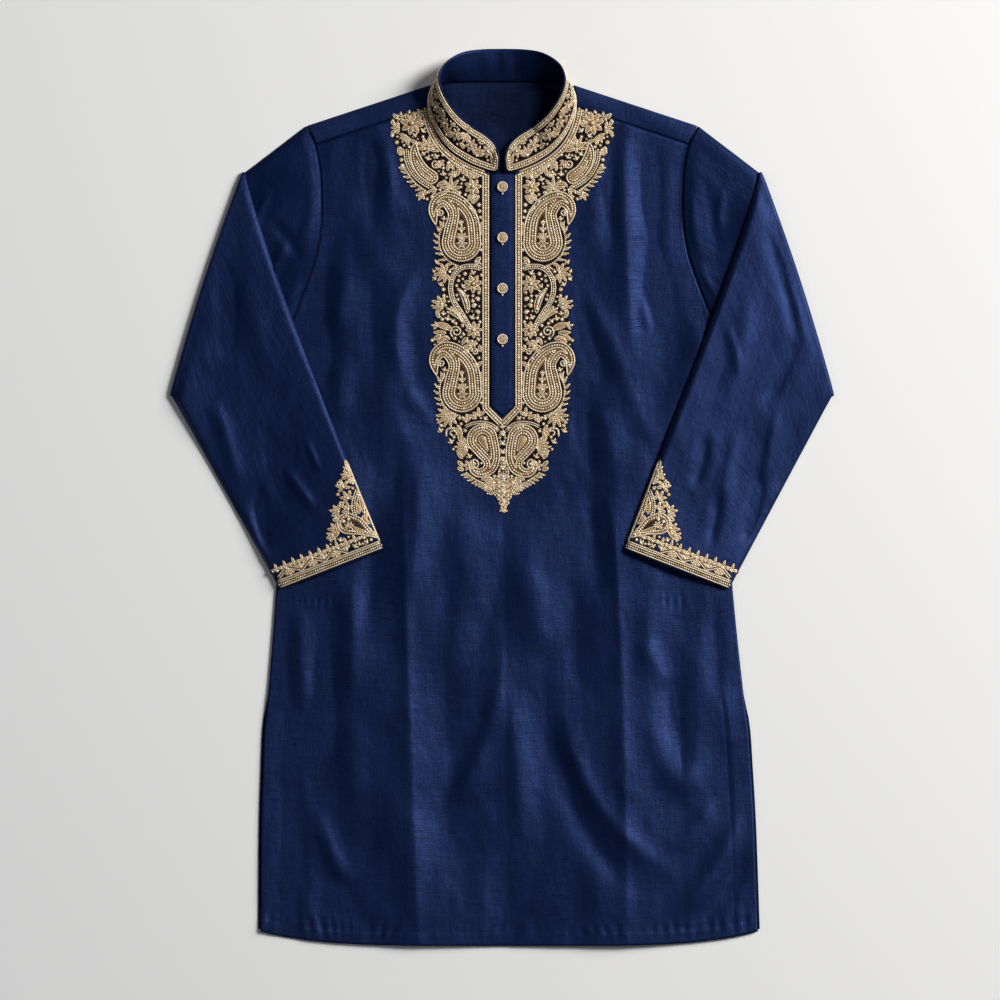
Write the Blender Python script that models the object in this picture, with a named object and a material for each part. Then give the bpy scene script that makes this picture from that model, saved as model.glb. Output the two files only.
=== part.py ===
"""A man's kurta tunic of slubbed silk, laid face up on a table with both sleeves folded in over the front.

The table is the plane z = 0. +Y runs from the hem to the collar, +X towards the wearer's left sleeve,
and the origin is the middle of the outline, on the table. Lengths in the tables are in millimetres.

The pieces are those that a tailor cuts: a back panel, a front panel with a neckline and a placket slot, two
yoke strips that wrap over the shoulders, a stand collar, the two placket strips, two sleeves, four shank
buttons, and the raised gold embroidery on chest, collar and cuffs.
"""

import math

import bmesh
import bpy
import numpy as np
from mathutils import Vector
from mathutils.bvhtree import BVHTree

MM = 0.001

# Cloth and the air between its layers
CLOTH = 1.2
SEAM_GAP = 0.5
LAYER_GAP = 0.9
BACK_TOP = CLOTH
FRONT_TOP = BACK_TOP + SEAM_GAP + CLOTH

# Body
HEM_CENTRE_Y = -523.6
HEM_CORNER_Y = -507.0
HEM_CURVE_POWER = 4.6
UNDERARM_Y = 176.0
SHOULDER_NECK = (84.0, 482.5)
SHOULDER_TIP = (228.7, 434.7)
YOKE_SEAM_NECK = (87.0, 457.5)
YOKE_SEAM_ARM = (217.6, 413.6)
YOKE_BACK_WIDTH = 8.0
YOKE_CROWN = 0.6
YOKE_STATIONS = 9
YOKE_TURNS = 5
BACK_NECKLINE = ((0.0, 489.0), (36.0, 489.0), (68.0, 484.0))
BACK_HEM_LIFT = 3.0
BACK_HEIGHTS = (-380.0, -260.0, -140.0, -20.0, 80.0)
BACK_MIDDLE_RANGE = (140.0, 460.0)
DRIFT_FROM_Y = 100.0
DRIFT_PER_MM = 0.0135

# Half outline of the body, from hem to shoulder: height and half width
SIDE_COLUMNS = ("y", "half_width")
SIDE_TABLE = (
    (-507.0, 291.0),
    (-388.0, 288.5),
    (-318.0, 285.5),
    (-271.0, 283.0),
    (-224.0, 277.5),
    (-107.0, 267.0),
    (40.0, 258.5),
    (176.0, 257.4),
    (211.2, 243.4),
    (244.0, 230.5),
    (281.4, 217.6),
    (320.0, 210.8),
    (361.0, 210.4),
    (390.2, 212.6),
    (413.6, 217.6),
)

# Rows of the front panel
ROWS_BELOW_SLOT = 20
SIDE_HEIGHTS = (122.0, 140.0, 158.0)
NECK_ROWS = 8
NECKLINE_INSET = 2.0
YOKE_SEAM_INNER = (-3.0, 1.0)

# Placket
SLOT_HALF = 14.5
SLOT_CORNER_Y = 107.0
SLOT_TIP_Y = 94.4
PLACKET_TOP_Y = 381.0
STRIP_HALF = 13.4
STRIP_OFFSET = 0.5
STRIP_CROWN = 0.3

# Buttons
BUTTON_RADIUS = 6.0
BUTTON_HEIGHT = 3.4
BUTTON_FIRST_Y = 363.9
BUTTON_PITCH = 59.4
BUTTON_COUNT = 4
BUTTON_SEGMENTS = 16
BUTTON_COLUMNS = ("radius", "height")
BUTTON_PROFILE = (
    (1.6, 0.0),
    (1.6, 0.7),
    (5.2, 0.8),
    (BUTTON_RADIUS, 1.3),
    (5.6, 1.9),
    (4.3, 2.7),
    (2.3, 3.25),
)

# Collar: half of the band, from its front end round to the middle of the back
BAND_HEIGHT = 38.5
BAND_WALL = 1.8
BAND_LEAST_RISE = 4.0
NECK_CENTRE = (0.0, 442.0)
BAND_STATIONS = 23
BAND_LEVELS = (0.0, 0.1, 0.3, 0.5, 0.7, 0.9, 1.0)
STITCHED_STATIONS = 13
COLLAR_COLUMNS = ("foot_x", "foot_y", "foot_z", "edge_x", "edge_y")
COLLAR_TABLE = (
    (4.3, 380.8, 4.4, 4.0, 412.0),
    (16.4, 383.2, 4.4, 8.6, 423.2),
    (32.8, 389.0, 4.4, 19.0, 427.8),
    (46.8, 396.6, 4.4, 30.4, 432.4),
    (57.3, 404.2, 4.4, 41.0, 437.6),
    (68.4, 415.9, 4.4, 50.3, 445.2),
    (77.2, 430.0, 4.4, 58.5, 454.5),
    (83.7, 446.4, 4.4, 65.5, 465.1),
    (86.0, 461.6, 4.4, 70.8, 476.8),
    (83.1, 474.4, 4.3, 72.9, 489.6),
    (74.9, 482.0, 3.9, 68.0, 503.0),
    (62.0, 486.1, 3.2, 56.8, 513.0),
    (44.5, 487.3, 2.8, 42.2, 519.7),
    (23.4, 487.3, 2.6, 22.8, 522.6),
    (0.0, 487.3, 2.6, 0.0, 523.2),
)

# Sleeves, seen from above: the fold across the upper arm, and the cuff
FOLD_TOP = (300.6, 380.5)
FOLD_ELBOW = (385.5, 118.6)
FOLD_BULGE = 3.5
CUFF_INNER = (140.0, -59.5)
CUFF_OUTER = (266.0, -103.5)
CUFF_BULGE = 2.0
TOP_CREASE_BOW = 8.0
CUFF_GAPE = 2.2
SLEEVE_LAYERS = 2 * CLOTH + 1.0
SLEEVE_EDGE_SHARE = 0.5
SLEEVE_EDGE_REACH = 0.05
HAIRPIN_TURNS = (-60, -30, 0, 30, 60)
UPPER_ALONG = (0.0, 0.14, 0.32, 0.52, 0.72, 1.0)
LOWER_ALONG = (0.0, 0.06, 0.15, 0.24, 0.33, 0.42, 0.51, 0.6, 0.69, 0.78, 0.86, 0.93, 1.0)
SLEEVE_ACROSS = (0.0, 0.05, 0.16, 0.3, 0.44, 0.58, 0.72, 0.86, 0.95, 1.0)
POCKET_INSET = 0.06
POCKET_END = 0.15
SUPPORT_REACH = 9.0
SETTLING_STEPS = 60

# Embroidery
EMBROIDERY = 1.0
EMBROIDERY_GAP = 0.4
CUFF_MARGIN = 5.0
CUFF_BORDER = 27.0
CUFF_SPRAY = 76.0
CUFF_SPRAY_SHARE = 0.42

# Inner and outer ends of the embroidered half, as (x, y), from its point to the yoke seam
CHEST_ROWS = (
    ((0.0, -16.0), (2.5, -14.5)),
    ((0.0, -6.0), (8.0, -3.0)),
    ((0.0, 8.0), (15.0, 11.0)),
    ((0.0, 20.0), (30.0, 25.0)),
    ((0.0, 32.0), (42.0, 38.0)),
    ((0.0, 44.0), (44.0, 48.0)),
    ((0.0, 56.0), (55.0, 60.0)),
    ((0.0, 68.0), (58.0, 76.0)),
    ((0.0, 80.0), (72.0, 78.0)),
    ((0.0, SLOT_TIP_Y - 1.5), (77.0, 92.0)),
    ((SLOT_HALF + 0.6, SLOT_CORNER_Y), (76.0, 108.0)),
    ((SLOT_HALF + 0.6, 124.0), (81.0, 124.0)),
    ((SLOT_HALF + 0.6, 142.0), (76.0, 142.0)),
    ((SLOT_HALF + 0.6, 158.0), (84.0, 158.0)),
    ((SLOT_HALF + 0.6, 174.0), (84.0, 174.0)),
    ((SLOT_HALF + 0.6, 190.0), (79.0, 190.0)),
    ((SLOT_HALF + 0.6, 209.0), (77.0, 209.0)),
    ((SLOT_HALF + 0.6, 228.0), (85.0, 228.0)),
    ((SLOT_HALF + 0.6, 247.0), (73.0, 247.0)),
    ((SLOT_HALF + 0.6, 265.0), (84.0, 265.0)),
    ((SLOT_HALF + 0.6, 282.0), (77.0, 282.0)),
    ((SLOT_HALF + 0.6, 298.0), (81.0, 298.0)),
    ((SLOT_HALF + 0.6, 316.0), (77.0, 316.0)),
    ((SLOT_HALF + 0.6, 334.0), (82.0, 328.0)),
    ((SLOT_HALF + 0.6, 352.0), (84.0, 342.0)),
    ((SLOT_HALF + 0.6, 366.0), (92.0, 351.0)),
    ((19.0, 379.5), (101.0, 360.0)),
    ((37.0, 385.5), (110.0, 374.0)),
    ((56.5, 396.5), (117.0, 391.0)),
    ((74.0, 413.0), (123.0, 408.0)),
    ((85.0, 429.0), (128.0, 424.0)),
    ((90.5, 447.0), (130.5, 440.0)),
)

# The largest folds of the front: a ridge from one point to another
FOLD_COLUMNS = ("x0", "y0", "x1", "y1", "half_width", "height")
FRONT_FOLDS = (
    (-186.0, -60.0, -178.0, -290.0, 24.0, 3.4),
    (-246.0, -120.0, -232.0, -330.0, 26.0, 3.2),
    (-112.0, -70.0, -109.0, -560.0, 26.0, 4.2),
    (-60.0, -40.0, -75.0, -260.0, 30.0, 2.4),
    (-6.0, -60.0, -14.0, -330.0, 30.0, 3.0),
    (52.0, -50.0, 66.0, -250.0, 26.0, 2.6),
    (134.0, -80.0, 140.0, -560.0, 28.0, 4.6),
    (190.0, -110.0, 200.0, -300.0, 26.0, 3.4),
    (243.0, -150.0, 258.0, -400.0, 22.0, 3.0),
    (60.0, -300.0, 176.0, -450.0, 24.0, 3.4),
    (258.0, -360.0, 196.0, -480.0, 22.0, 2.8),
    (-236.0, -360.0, -186.0, -470.0, 24.0, 2.8),
    (-172.0, 300.0, -182.0, 90.0, 26.0, 3.2),
    (-122.0, 250.0, -128.0, 60.0, 22.0, 2.6),
    (154.0, 400.0, 160.0, 150.0, 26.0, 3.4),
    (112.0, 190.0, 128.0, 20.0, 22.0, 2.8),
)

COLOURS = {
    "silk": ((0.018, 0.032, 0.115), 0.48, 0.0),
    "silk_inside": ((0.012, 0.022, 0.08), 0.6, 0.0),
    "gold_thread": ((0.50, 0.33, 0.13), 0.38, 0.7),
    "gold_metal": ((0.72, 0.52, 0.22), 0.28, 1.0),
}


# ---------------------------------------------------------------- small tools


def clear_scene():
    for thing in list(bpy.data.objects):
        bpy.data.objects.remove(thing, do_unlink=True)


def material(name):
    found = bpy.data.materials.get(name)
    if found:
        return found
    colour, roughness, metallic = COLOURS[name]
    made = bpy.data.materials.new(name)
    made.use_nodes = True
    shader = made.node_tree.nodes["Principled BSDF"]
    shader.inputs["Base Color"].default_value = (*colour, 1.0)
    shader.inputs["Roughness"].default_value = roughness
    shader.inputs["Metallic"].default_value = metallic
    return made


def add_solid(name, points_mm, faces, finish):
    """One closed mesh object, from points in millimetres, with its faces turned outwards."""
    mesh = bpy.data.meshes.new(name)
    mesh.from_pydata([[MM * c for c in p] for p in points_mm], [], faces)
    solid = bmesh.new()
    solid.from_mesh(mesh)
    bmesh.ops.recalc_face_normals(solid, faces=solid.faces)
    bmesh.ops.triangulate(solid, faces=solid.faces)
    solid.to_mesh(mesh)
    solid.free()
    mesh.shade_smooth()
    mesh.set_sharp_from_angle(angle=math.radians(40))
    mesh.materials.append(material(finish))
    made = bpy.data.objects.new(name, mesh)
    bpy.context.scene.collection.objects.link(made)
    return made


def slab(name, upper, lower, cells, finish):
    """A wall between two copies of one sheet, closed along every free edge. Cells run counter-clockwise."""
    count = len(upper)
    edges = {(c[i], c[(i + 1) % len(c)]) for c in cells for i in range(len(c))}
    faces = [tuple(c) for c in cells]
    faces += [tuple(count + i for i in reversed(c)) for c in cells]
    faces += [
        (count + a, count + b, b, a) for a, b in sorted(edges) if (b, a) not in edges
    ]
    return add_solid(name, [*upper, *lower], faces, finish)


def grid_cells(rows, columns):
    return [
        (r * columns + c, r * columns + c + 1, (r + 1) * columns + c + 1, (r + 1) * columns + c)
        for r in range(rows - 1)
        for c in range(columns - 1)
    ]


def grid_normals(grid):
    along = np.gradient(grid, axis=0)
    across = np.gradient(grid, axis=1)
    normals = np.cross(along, across)
    return normals / np.linalg.norm(normals, axis=2, keepdims=True)


def wall_from_grid(name, grid, out, into, finish):
    """A curved wall that reaches out to one side of a grid of points and in to the other."""
    normals = grid_normals(grid)
    rows, columns = grid.shape[:2]
    upper = (grid + out * normals).reshape(-1, 3)
    lower = (grid - into * normals).reshape(-1, 3)
    return slab(name, upper, lower, grid_cells(rows, columns), finish)


def smooth_curve(points, count):
    """Points along a Catmull-Rom curve through a short list, evenly spaced in its parameter."""
    given = np.array(points, float)
    padded = np.vstack([2 * given[0] - given[1], given, 2 * given[-1] - given[-2]])
    made = []
    for t in np.linspace(0, len(given) - 1, count):
        i = min(int(t), len(given) - 2)
        f = t - i
        a, b, c, d = padded[i : i + 4]
        made.append(
            0.5 * (2 * b + (c - a) * f + (2 * a - 5 * b + 4 * c - d) * f**2 + (3 * b - a - 3 * c + d) * f**3)
        )
    return np.array(made)


def ease(value, low, high):
    """0 below low, 1 above high, and a smooth step between."""
    t = min(max((value - low) / (high - low), 0.0), 1.0)
    return t * t * (3 - 2 * t)


def blend(a, b, share):
    return (1 - share) * np.array(a, float) + share * np.array(b, float)


def drift(y):
    """How far the garment leans to +X below the sleeves' elbows."""
    return DRIFT_PER_MM * max(DRIFT_FROM_Y - y, 0.0)


# ---------------------------------------------------------------- the body

SIDE_CURVE = smooth_curve(SIDE_TABLE, 141)


def side_x(y):
    return float(np.interp(y, SIDE_CURVE[:, 0], SIDE_CURVE[:, 1]))


def armhole_heights(halved):
    """Heights shared by all edges that meet in the armhole seam, from the underarm to the yoke's seam."""
    sleeve = [SHOULDER_TIP[1] + (UNDERARM_Y - SHOULDER_TIP[1]) * u for u in reversed(SLEEVE_ACROSS)]
    heights = [y for y in sleeve if y < YOKE_SEAM_ARM[1]] + [YOKE_SEAM_ARM[1]]
    if halved:
        heights += [0.5 * (a + b) for a, b in zip(heights[2:], heights[3:-1])]
    return sorted(heights)


def hem_row(inner, outer, columns, power):
    """A row of points from the middle to the side, bowed like the hem when power is above 1."""
    return [
        (
            inner[0] + (outer[0] - inner[0]) * u,
            inner[1] + (outer[1] - inner[1]) * u**power,
        )
        for u in columns
    ]


def collar_foot(inset):
    """The collar's seam line from its front end to the middle of the back, moved in towards the neck."""
    line = smooth_curve([row[:2] for row in COLLAR_TABLE], 57)
    towards = np.array(NECK_CENTRE) - line
    return line + inset * towards / np.linalg.norm(towards, axis=1, keepdims=True)


def ridge(x, y, fold):
    """Height of one soft ridge, fading out at its two ends."""
    x0, y0, x1, y1, half_width, height = fold
    run = np.array((x1 - x0, y1 - y0))
    length = float(np.linalg.norm(run))
    run = run / length
    along = (x - x0) * run[0] + (y - y0) * run[1]
    off = abs((x - x0) * run[1] - (y - y0) * run[0])
    if off >= half_width:
        return 0.0
    fade = ease(along, -0.1 * length, 0.25 * length) * ease(length - along, -0.1 * length, 0.25 * length)
    return height * fade * math.cos(0.5 * math.pi * off / half_width) ** 2


def embroidery_reach(y):
    """Half width of the embroidered chest at this height, or 0 below its point."""
    rows = sorted((outer[1], outer[0]) for _, outer in CHEST_ROWS)
    return float(np.interp(y, [r[0] for r in rows], [r[1] for r in rows], left=0.0))


def front_height(x, y):
    """Top of the front panel, which lies flat at its side seams and where the embroidery stiffens it."""
    folds = sum(ridge(x, y, fold) for fold in FRONT_FOLDS)
    loose = ease(side_x(y) - abs(x), 6.0, 40.0)
    if y > 0:
        loose *= ease(abs(x) - embroidery_reach(y), 4.0, 34.0)
    elif abs(x) < 30.0:
        loose *= ease(-y, -10.0, 30.0)
    return FRONT_TOP + folds * loose


def mirrored_sheet(rows, columns, joined_rows):
    """A sheet from half rows. The first rows reach the middle and are shared by both halves."""
    points, index = [], {}
    for side in (1, -1):
        for r, row in enumerate(rows):
            for c, (x, y) in enumerate(row):
                if side < 0 and c == 0 and r < joined_rows:
                    index[side, r, c] = index[1, r, c]
                    continue
                index[side, r, c] = len(points)
                points.append((side * x + drift(y), y))
    cells = []
    for side in (1, -1):
        for r in range(len(rows) - 1):
            for c in range(columns - 1):
                corners = ((r, c), (r, c + 1), (r + 1, c + 1), (r + 1, c))
                cell = [index[(side, *corner)] for corner in corners]
                cells.append(cell if side > 0 else cell[::-1])
    return points, cells


def front_rows(columns):
    """Half rows of the front panel, from the hem to the yoke seam."""
    rows = []
    for f in np.linspace(0, 1, ROWS_BELOW_SLOT):
        inner = (0.0, HEM_CENTRE_Y + (SLOT_TIP_Y - HEM_CENTRE_Y) * f)
        outer_y = HEM_CORNER_Y + (SLOT_CORNER_Y - HEM_CORNER_Y) * f
        power = 1 + (HEM_CURVE_POWER - 1) * max(1 - 6 * f, 0.0)
        rows.append(hem_row(inner, (side_x(outer_y), outer_y), columns, power))
    outer_heights = [*SIDE_HEIGHTS, *armhole_heights(halved=True)]
    foot = collar_foot(NECKLINE_INSET)
    neckline = [p for p in foot if SLOT_HALF + 1.0 < p[0] and p[1] < YOKE_SEAM_NECK[1]]
    neckline.append(np.array(YOKE_SEAM_NECK) + YOKE_SEAM_INNER)
    beside = len(outer_heights) - NECK_ROWS
    inner_ends = [(SLOT_HALF, y) for y in np.linspace(SLOT_CORNER_Y, PLACKET_TOP_Y, beside)]
    chosen = np.linspace(0, len(neckline) - 1, NECK_ROWS + 1)[1:]
    inner_ends += [neckline[round(k)] for k in chosen]
    for inner, outer_y in zip(inner_ends, outer_heights):
        rows.append(hem_row(inner, (side_x(outer_y), outer_y), columns, 1.0))
    return rows


def make_front_panel():
    columns = np.linspace(0, 1, 15)
    points, cells = mirrored_sheet(front_rows(columns), len(columns), ROWS_BELOW_SLOT)
    upper = [(x, y, front_height(x, y)) for x, y in points]
    lower = [(x, y, z - CLOTH) for x, y, z in upper]
    return slab("front_panel", upper, lower, cells, "silk")


def make_back_panel():
    """The flat back, up to the back neckline and the yoke strips' lower edges."""
    columns = np.linspace(0, 1, 7)
    hem_y = HEM_CORNER_Y + BACK_HEM_LIFT
    hem_middle = (0.0, HEM_CENTRE_Y + BACK_HEM_LIFT)
    rows = [hem_row(hem_middle, (side_x(hem_y), hem_y), columns, HEM_CURVE_POWER)]
    for y in BACK_HEIGHTS:
        rows.append(hem_row((0.0, y), (side_x(y), y), columns, 1.0))
    beside = armhole_heights(halved=False)
    for inner_y, y in zip(np.linspace(*BACK_MIDDLE_RANGE, len(beside)), beside):
        rows.append(hem_row((0.0, inner_y), (side_x(y), y), columns, 1.0))
    shoulder = np.array(SHOULDER_TIP) - np.array(SHOULDER_NECK)
    shoulder = shoulder / np.linalg.norm(shoulder)
    drop = (YOKE_BACK_WIDTH + SEAM_GAP) * np.array((shoulder[1], -shoulder[0]))
    neck = np.array(SHOULDER_NECK) + drop
    tip = np.array(SHOULDER_TIP) + drop - 3 * SEAM_GAP * shoulder
    rows.append([*BACK_NECKLINE, *(tuple(blend(neck, tip, share)) for share in (0, 1 / 3, 2 / 3, 1))])
    points, cells = mirrored_sheet(rows, len(columns), len(rows))
    upper = [(x, y, BACK_TOP) for x, y in points]
    lower = [(x, y, 0.0) for x, y in points]
    return slab("back_panel", upper, lower, cells, "silk_inside")


def make_yoke(name, side):
    """A strip folded over the shoulder: a flat edge behind, a rounded fold, and the strip in front."""
    bend = 0.5 * (FRONT_TOP - CLOTH)
    behind = [(YOKE_BACK_WIDTH, 0.0), (bend, 0.0)]
    turns = np.linspace(0, math.pi, YOKE_TURNS + 2)[1:-1]
    fold = [(bend * (1 - math.sin(a)), bend * (1 - math.cos(a))) for a in turns]
    strip = [(0.0, 2 * bend), (0.5, 2 * bend + YOKE_CROWN), (1.0, 2 * bend)]
    grid = np.zeros((len(behind) + len(fold) + len(strip), YOKE_STATIONS, 3))
    for k, share in enumerate(np.linspace(0, 1, YOKE_STATIONS)):
        edge = blend(SHOULDER_NECK, SHOULDER_TIP, share)
        seam = blend(YOKE_SEAM_NECK, YOKE_SEAM_ARM, share)
        width = np.linalg.norm(seam - edge)
        run = (seam - edge) / width
        reach = width - SEAM_GAP - bend
        profile = behind + fold + [(bend + reach * part, lift) for part, lift in strip]
        for row, (depth, lift) in enumerate(profile):
            x, y = edge + run * depth
            grid[row, k] = (side * x, y, 0.5 * CLOTH + lift)
    # The outer end keeps clear of the sleeve.
    grid[:, -1, 0] -= side * SEAM_GAP
    return wall_from_grid(name, grid, 0.5 * CLOTH, 0.5 * CLOTH, "silk")


# ---------------------------------------------------------------- placket and buttons


def make_placket(name, half, offset, low, crown):
    """A strip with a pointed lower end and a slightly crowned middle."""
    inset = SLOT_HALF - half
    corner_y = SLOT_CORNER_Y + 0.4 * inset
    tip = (offset, SLOT_TIP_Y + 1.3 * inset)
    rows = [((offset - half, corner_y), tip, (offset + half, corner_y))]
    for y in np.linspace(corner_y + 12.0, PLACKET_TOP_Y - 2.0, 11):
        rows.append([(offset + across, y) for across in (-half, 0.0, half)])
    lower = np.array([(x, y, low) for row in rows for x, y in row])
    upper = lower + (0, 0, CLOTH)
    upper[1::3, 2] += crown
    return slab(name, upper, lower, grid_cells(len(rows), 3), "silk")


def make_button(number, base_z):
    """A domed shank button, turned round a vertical axis."""
    segments = BUTTON_SEGMENTS
    y = BUTTON_FIRST_Y - (number - 1) * BUTTON_PITCH
    points = [(STRIP_OFFSET, y, base_z), (STRIP_OFFSET, y, base_z + BUTTON_HEIGHT)]
    for radius, height in BUTTON_PROFILE:
        for s in range(segments):
            a = 2 * math.pi * s / segments
            points.append((STRIP_OFFSET + radius * math.cos(a), y + radius * math.sin(a), base_z + height))
    faces = []
    last = 2 + (len(BUTTON_PROFILE) - 1) * segments
    for s in range(segments):
        t = (s + 1) % segments
        faces.append((0, 2 + t, 2 + s))
        faces.append((1, last + s, last + t))
        for ring in range(len(BUTTON_PROFILE) - 1):
            a = 2 + ring * segments
            faces.append((a + s, a + t, a + segments + t, a + segments + s))
    return add_solid(f"button_{number}", points, faces, "gold_metal")


# ---------------------------------------------------------------- collar


def collar_grid():
    """Mid-surface of the band: stations from its left front end round the neck to the right one."""
    half = smooth_curve(COLLAR_TABLE, BAND_STATIONS)
    whole = [(*row[:3], *row[3:]) for row in half]
    whole += [(-row[0], row[1], row[2], -row[3], row[4]) for row in half[-2::-1]]
    grid = []
    for foot_x, foot_y, foot_z, edge_x, edge_y in whole:
        run = math.hypot(edge_x - foot_x, edge_y - foot_y)
        rise = math.sqrt(max(BAND_HEIGHT**2 - run**2, BAND_LEAST_RISE**2))
        column = []
        for v in BAND_LEVELS:
            bow = 2.2 * math.sin(math.pi * v)
            lean = np.array((edge_x - foot_x, edge_y - foot_y)) / run
            x = foot_x + (edge_x - foot_x) * v - bow * lean[0] * rise / BAND_HEIGHT
            y = foot_y + (edge_y - foot_y) * v - bow * lean[1] * rise / BAND_HEIGHT
            column.append((x, y, foot_z + rise * v + bow * run / BAND_HEIGHT))
        grid.append(column)
    return np.array(grid)


def make_collar():
    wall_from_grid("collar", collar_grid(), 0.5 * BAND_WALL, 0.5 * BAND_WALL, "silk")


def make_collar_embroidery(name, side):
    """The stitched face of one front of the band, a skin just outside it."""
    grid = collar_grid()
    normals = grid_normals(grid)
    chosen = slice(1, STITCHED_STATIONS) if side > 0 else slice(-STITCHED_STATIONS, -1)
    low = (grid + (0.5 * BAND_WALL + EMBROIDERY_GAP) * normals)[chosen, 1:-1]
    high = low + EMBROIDERY * normals[chosen, 1:-1]
    cells = grid_cells(*low.shape[:2])
    slab(name, high.reshape(-1, 3), low.reshape(-1, 3), cells, "gold_thread")


# ---------------------------------------------------------------- sleeves


def armhole_point(u):
    """The sleeve's side of the armhole seam, from the shoulder tip (0) to the underarm (1)."""
    y = SHOULDER_TIP[1] + (UNDERARM_Y - SHOULDER_TIP[1]) * u
    if y > YOKE_SEAM_ARM[1]:
        share = (y - YOKE_SEAM_ARM[1]) / (SHOULDER_TIP[1] - YOKE_SEAM_ARM[1])
        x = YOKE_SEAM_ARM[0] + (SHOULDER_TIP[0] - YOKE_SEAM_ARM[0]) * share
    else:
        x = side_x(y)
    return np.array((x + 2 * SEAM_GAP, y))


def fold_point(u):
    """The folded edge, from the shoulder side (0) to the elbow (1)."""
    point = blend(FOLD_TOP, FOLD_ELBOW, u)
    return point + fold_outwards() * FOLD_BULGE * math.sin(math.pi * u)


def fold_outwards():
    run = np.array(FOLD_ELBOW) - np.array(FOLD_TOP)
    return np.array((-run[1], run[0])) / np.linalg.norm(run)


def cuff_point(u):
    """The cuff's edge, from the sleeve's top crease (0) to its underarm seam (1)."""
    run = np.array(CUFF_OUTER) - np.array(CUFF_INNER)
    down = np.array((run[1], -run[0])) / np.linalg.norm(run)
    return blend(CUFF_INNER, CUFF_OUTER, u) + down * CUFF_BULGE * math.sin(math.pi * u)


def lower_point(s, u):
    """A place on the folded-over sleeve, from the fold (s = 0) to the cuff (s = 1)."""
    bow = TOP_CREASE_BOW * (1 - u) ** 2 * math.sin(math.pi * s**0.7)
    return blend(fold_point(u), cuff_point(u), s) + bow * fold_outwards()


def layers_at(u):
    """Thickness of the two layers of one tube, thin at its creased edges."""
    share = min(min(u, 1 - u) / SLEEVE_EDGE_REACH, 1.0)
    return SLEEVE_LAYERS * (SLEEVE_EDGE_SHARE + (1 - SLEEVE_EDGE_SHARE) * math.sqrt(share))


def upper_swell(s, u):
    """One soft trough-edge that runs down the upper sleeve from the shoulder."""
    hang = ridge(60 * s, 200 * u, (8.0, 30.0, 40.0, 150.0, 26.0, 2.0))
    return hang * ease(1 - s, 0.0, 0.25) * ease(s, 0.0, 0.15)


def lower_swell(s, u):
    """Soft lengthwise swell of the folded-over sleeve, and the cuff's gape."""
    swell = 1.6 * math.cos(math.pi * (u - 0.38)) ** 2 * ease(s, 0.05, 0.4) * ease(1 - s, 0.0, 0.35)
    gape = CUFF_GAPE * math.sin(math.pi * u) * ease(s, 0.7, 1.0)
    return swell + gape


def height_below(surfaces, x, y):
    """Height of the highest piece already laid down within reach of this point."""
    angles = np.linspace(0, 2 * math.pi, 9)[:-1]
    around = [(SUPPORT_REACH * math.cos(a), SUPPORT_REACH * math.sin(a)) for a in angles]
    highest = 0.0
    for dx, dy in [(0, 0), *around]:
        start = Vector(((x + dx) * MM, (y + dy) * MM, 0.1))
        for surface in surfaces:
            hit = surface.ray_cast(start, Vector((0, 0, -1)))[0]
            if hit is not None:
                highest = max(highest, hit.z / MM)
    return highest


def on_grid(table, s, u):
    """Reads a table laid out by LOWER_ALONG and SLEEVE_ACROSS between its entries."""
    along = [float(np.interp(s, LOWER_ALONG, column)) for column in np.transpose(table)]
    return float(np.interp(u, SLEEVE_ACROSS, along))


def tube_faces(rings, size):
    """Faces of a chain of closed rings, capped at both ends by strips between its two layers."""
    faces = []
    for start in range(0, (rings - 1) * size, size):
        for k in range(size):
            m = (k + 1) % size
            faces.append((start + k, start + m, start + size + m, start + size + k))
    for start in (0, (rings - 1) * size):
        for k in range(size // 2 - 1):
            faces.append((start + k, start + k + 1, start + size - 2 - k, start + size - 1 - k))
    return faces


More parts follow.
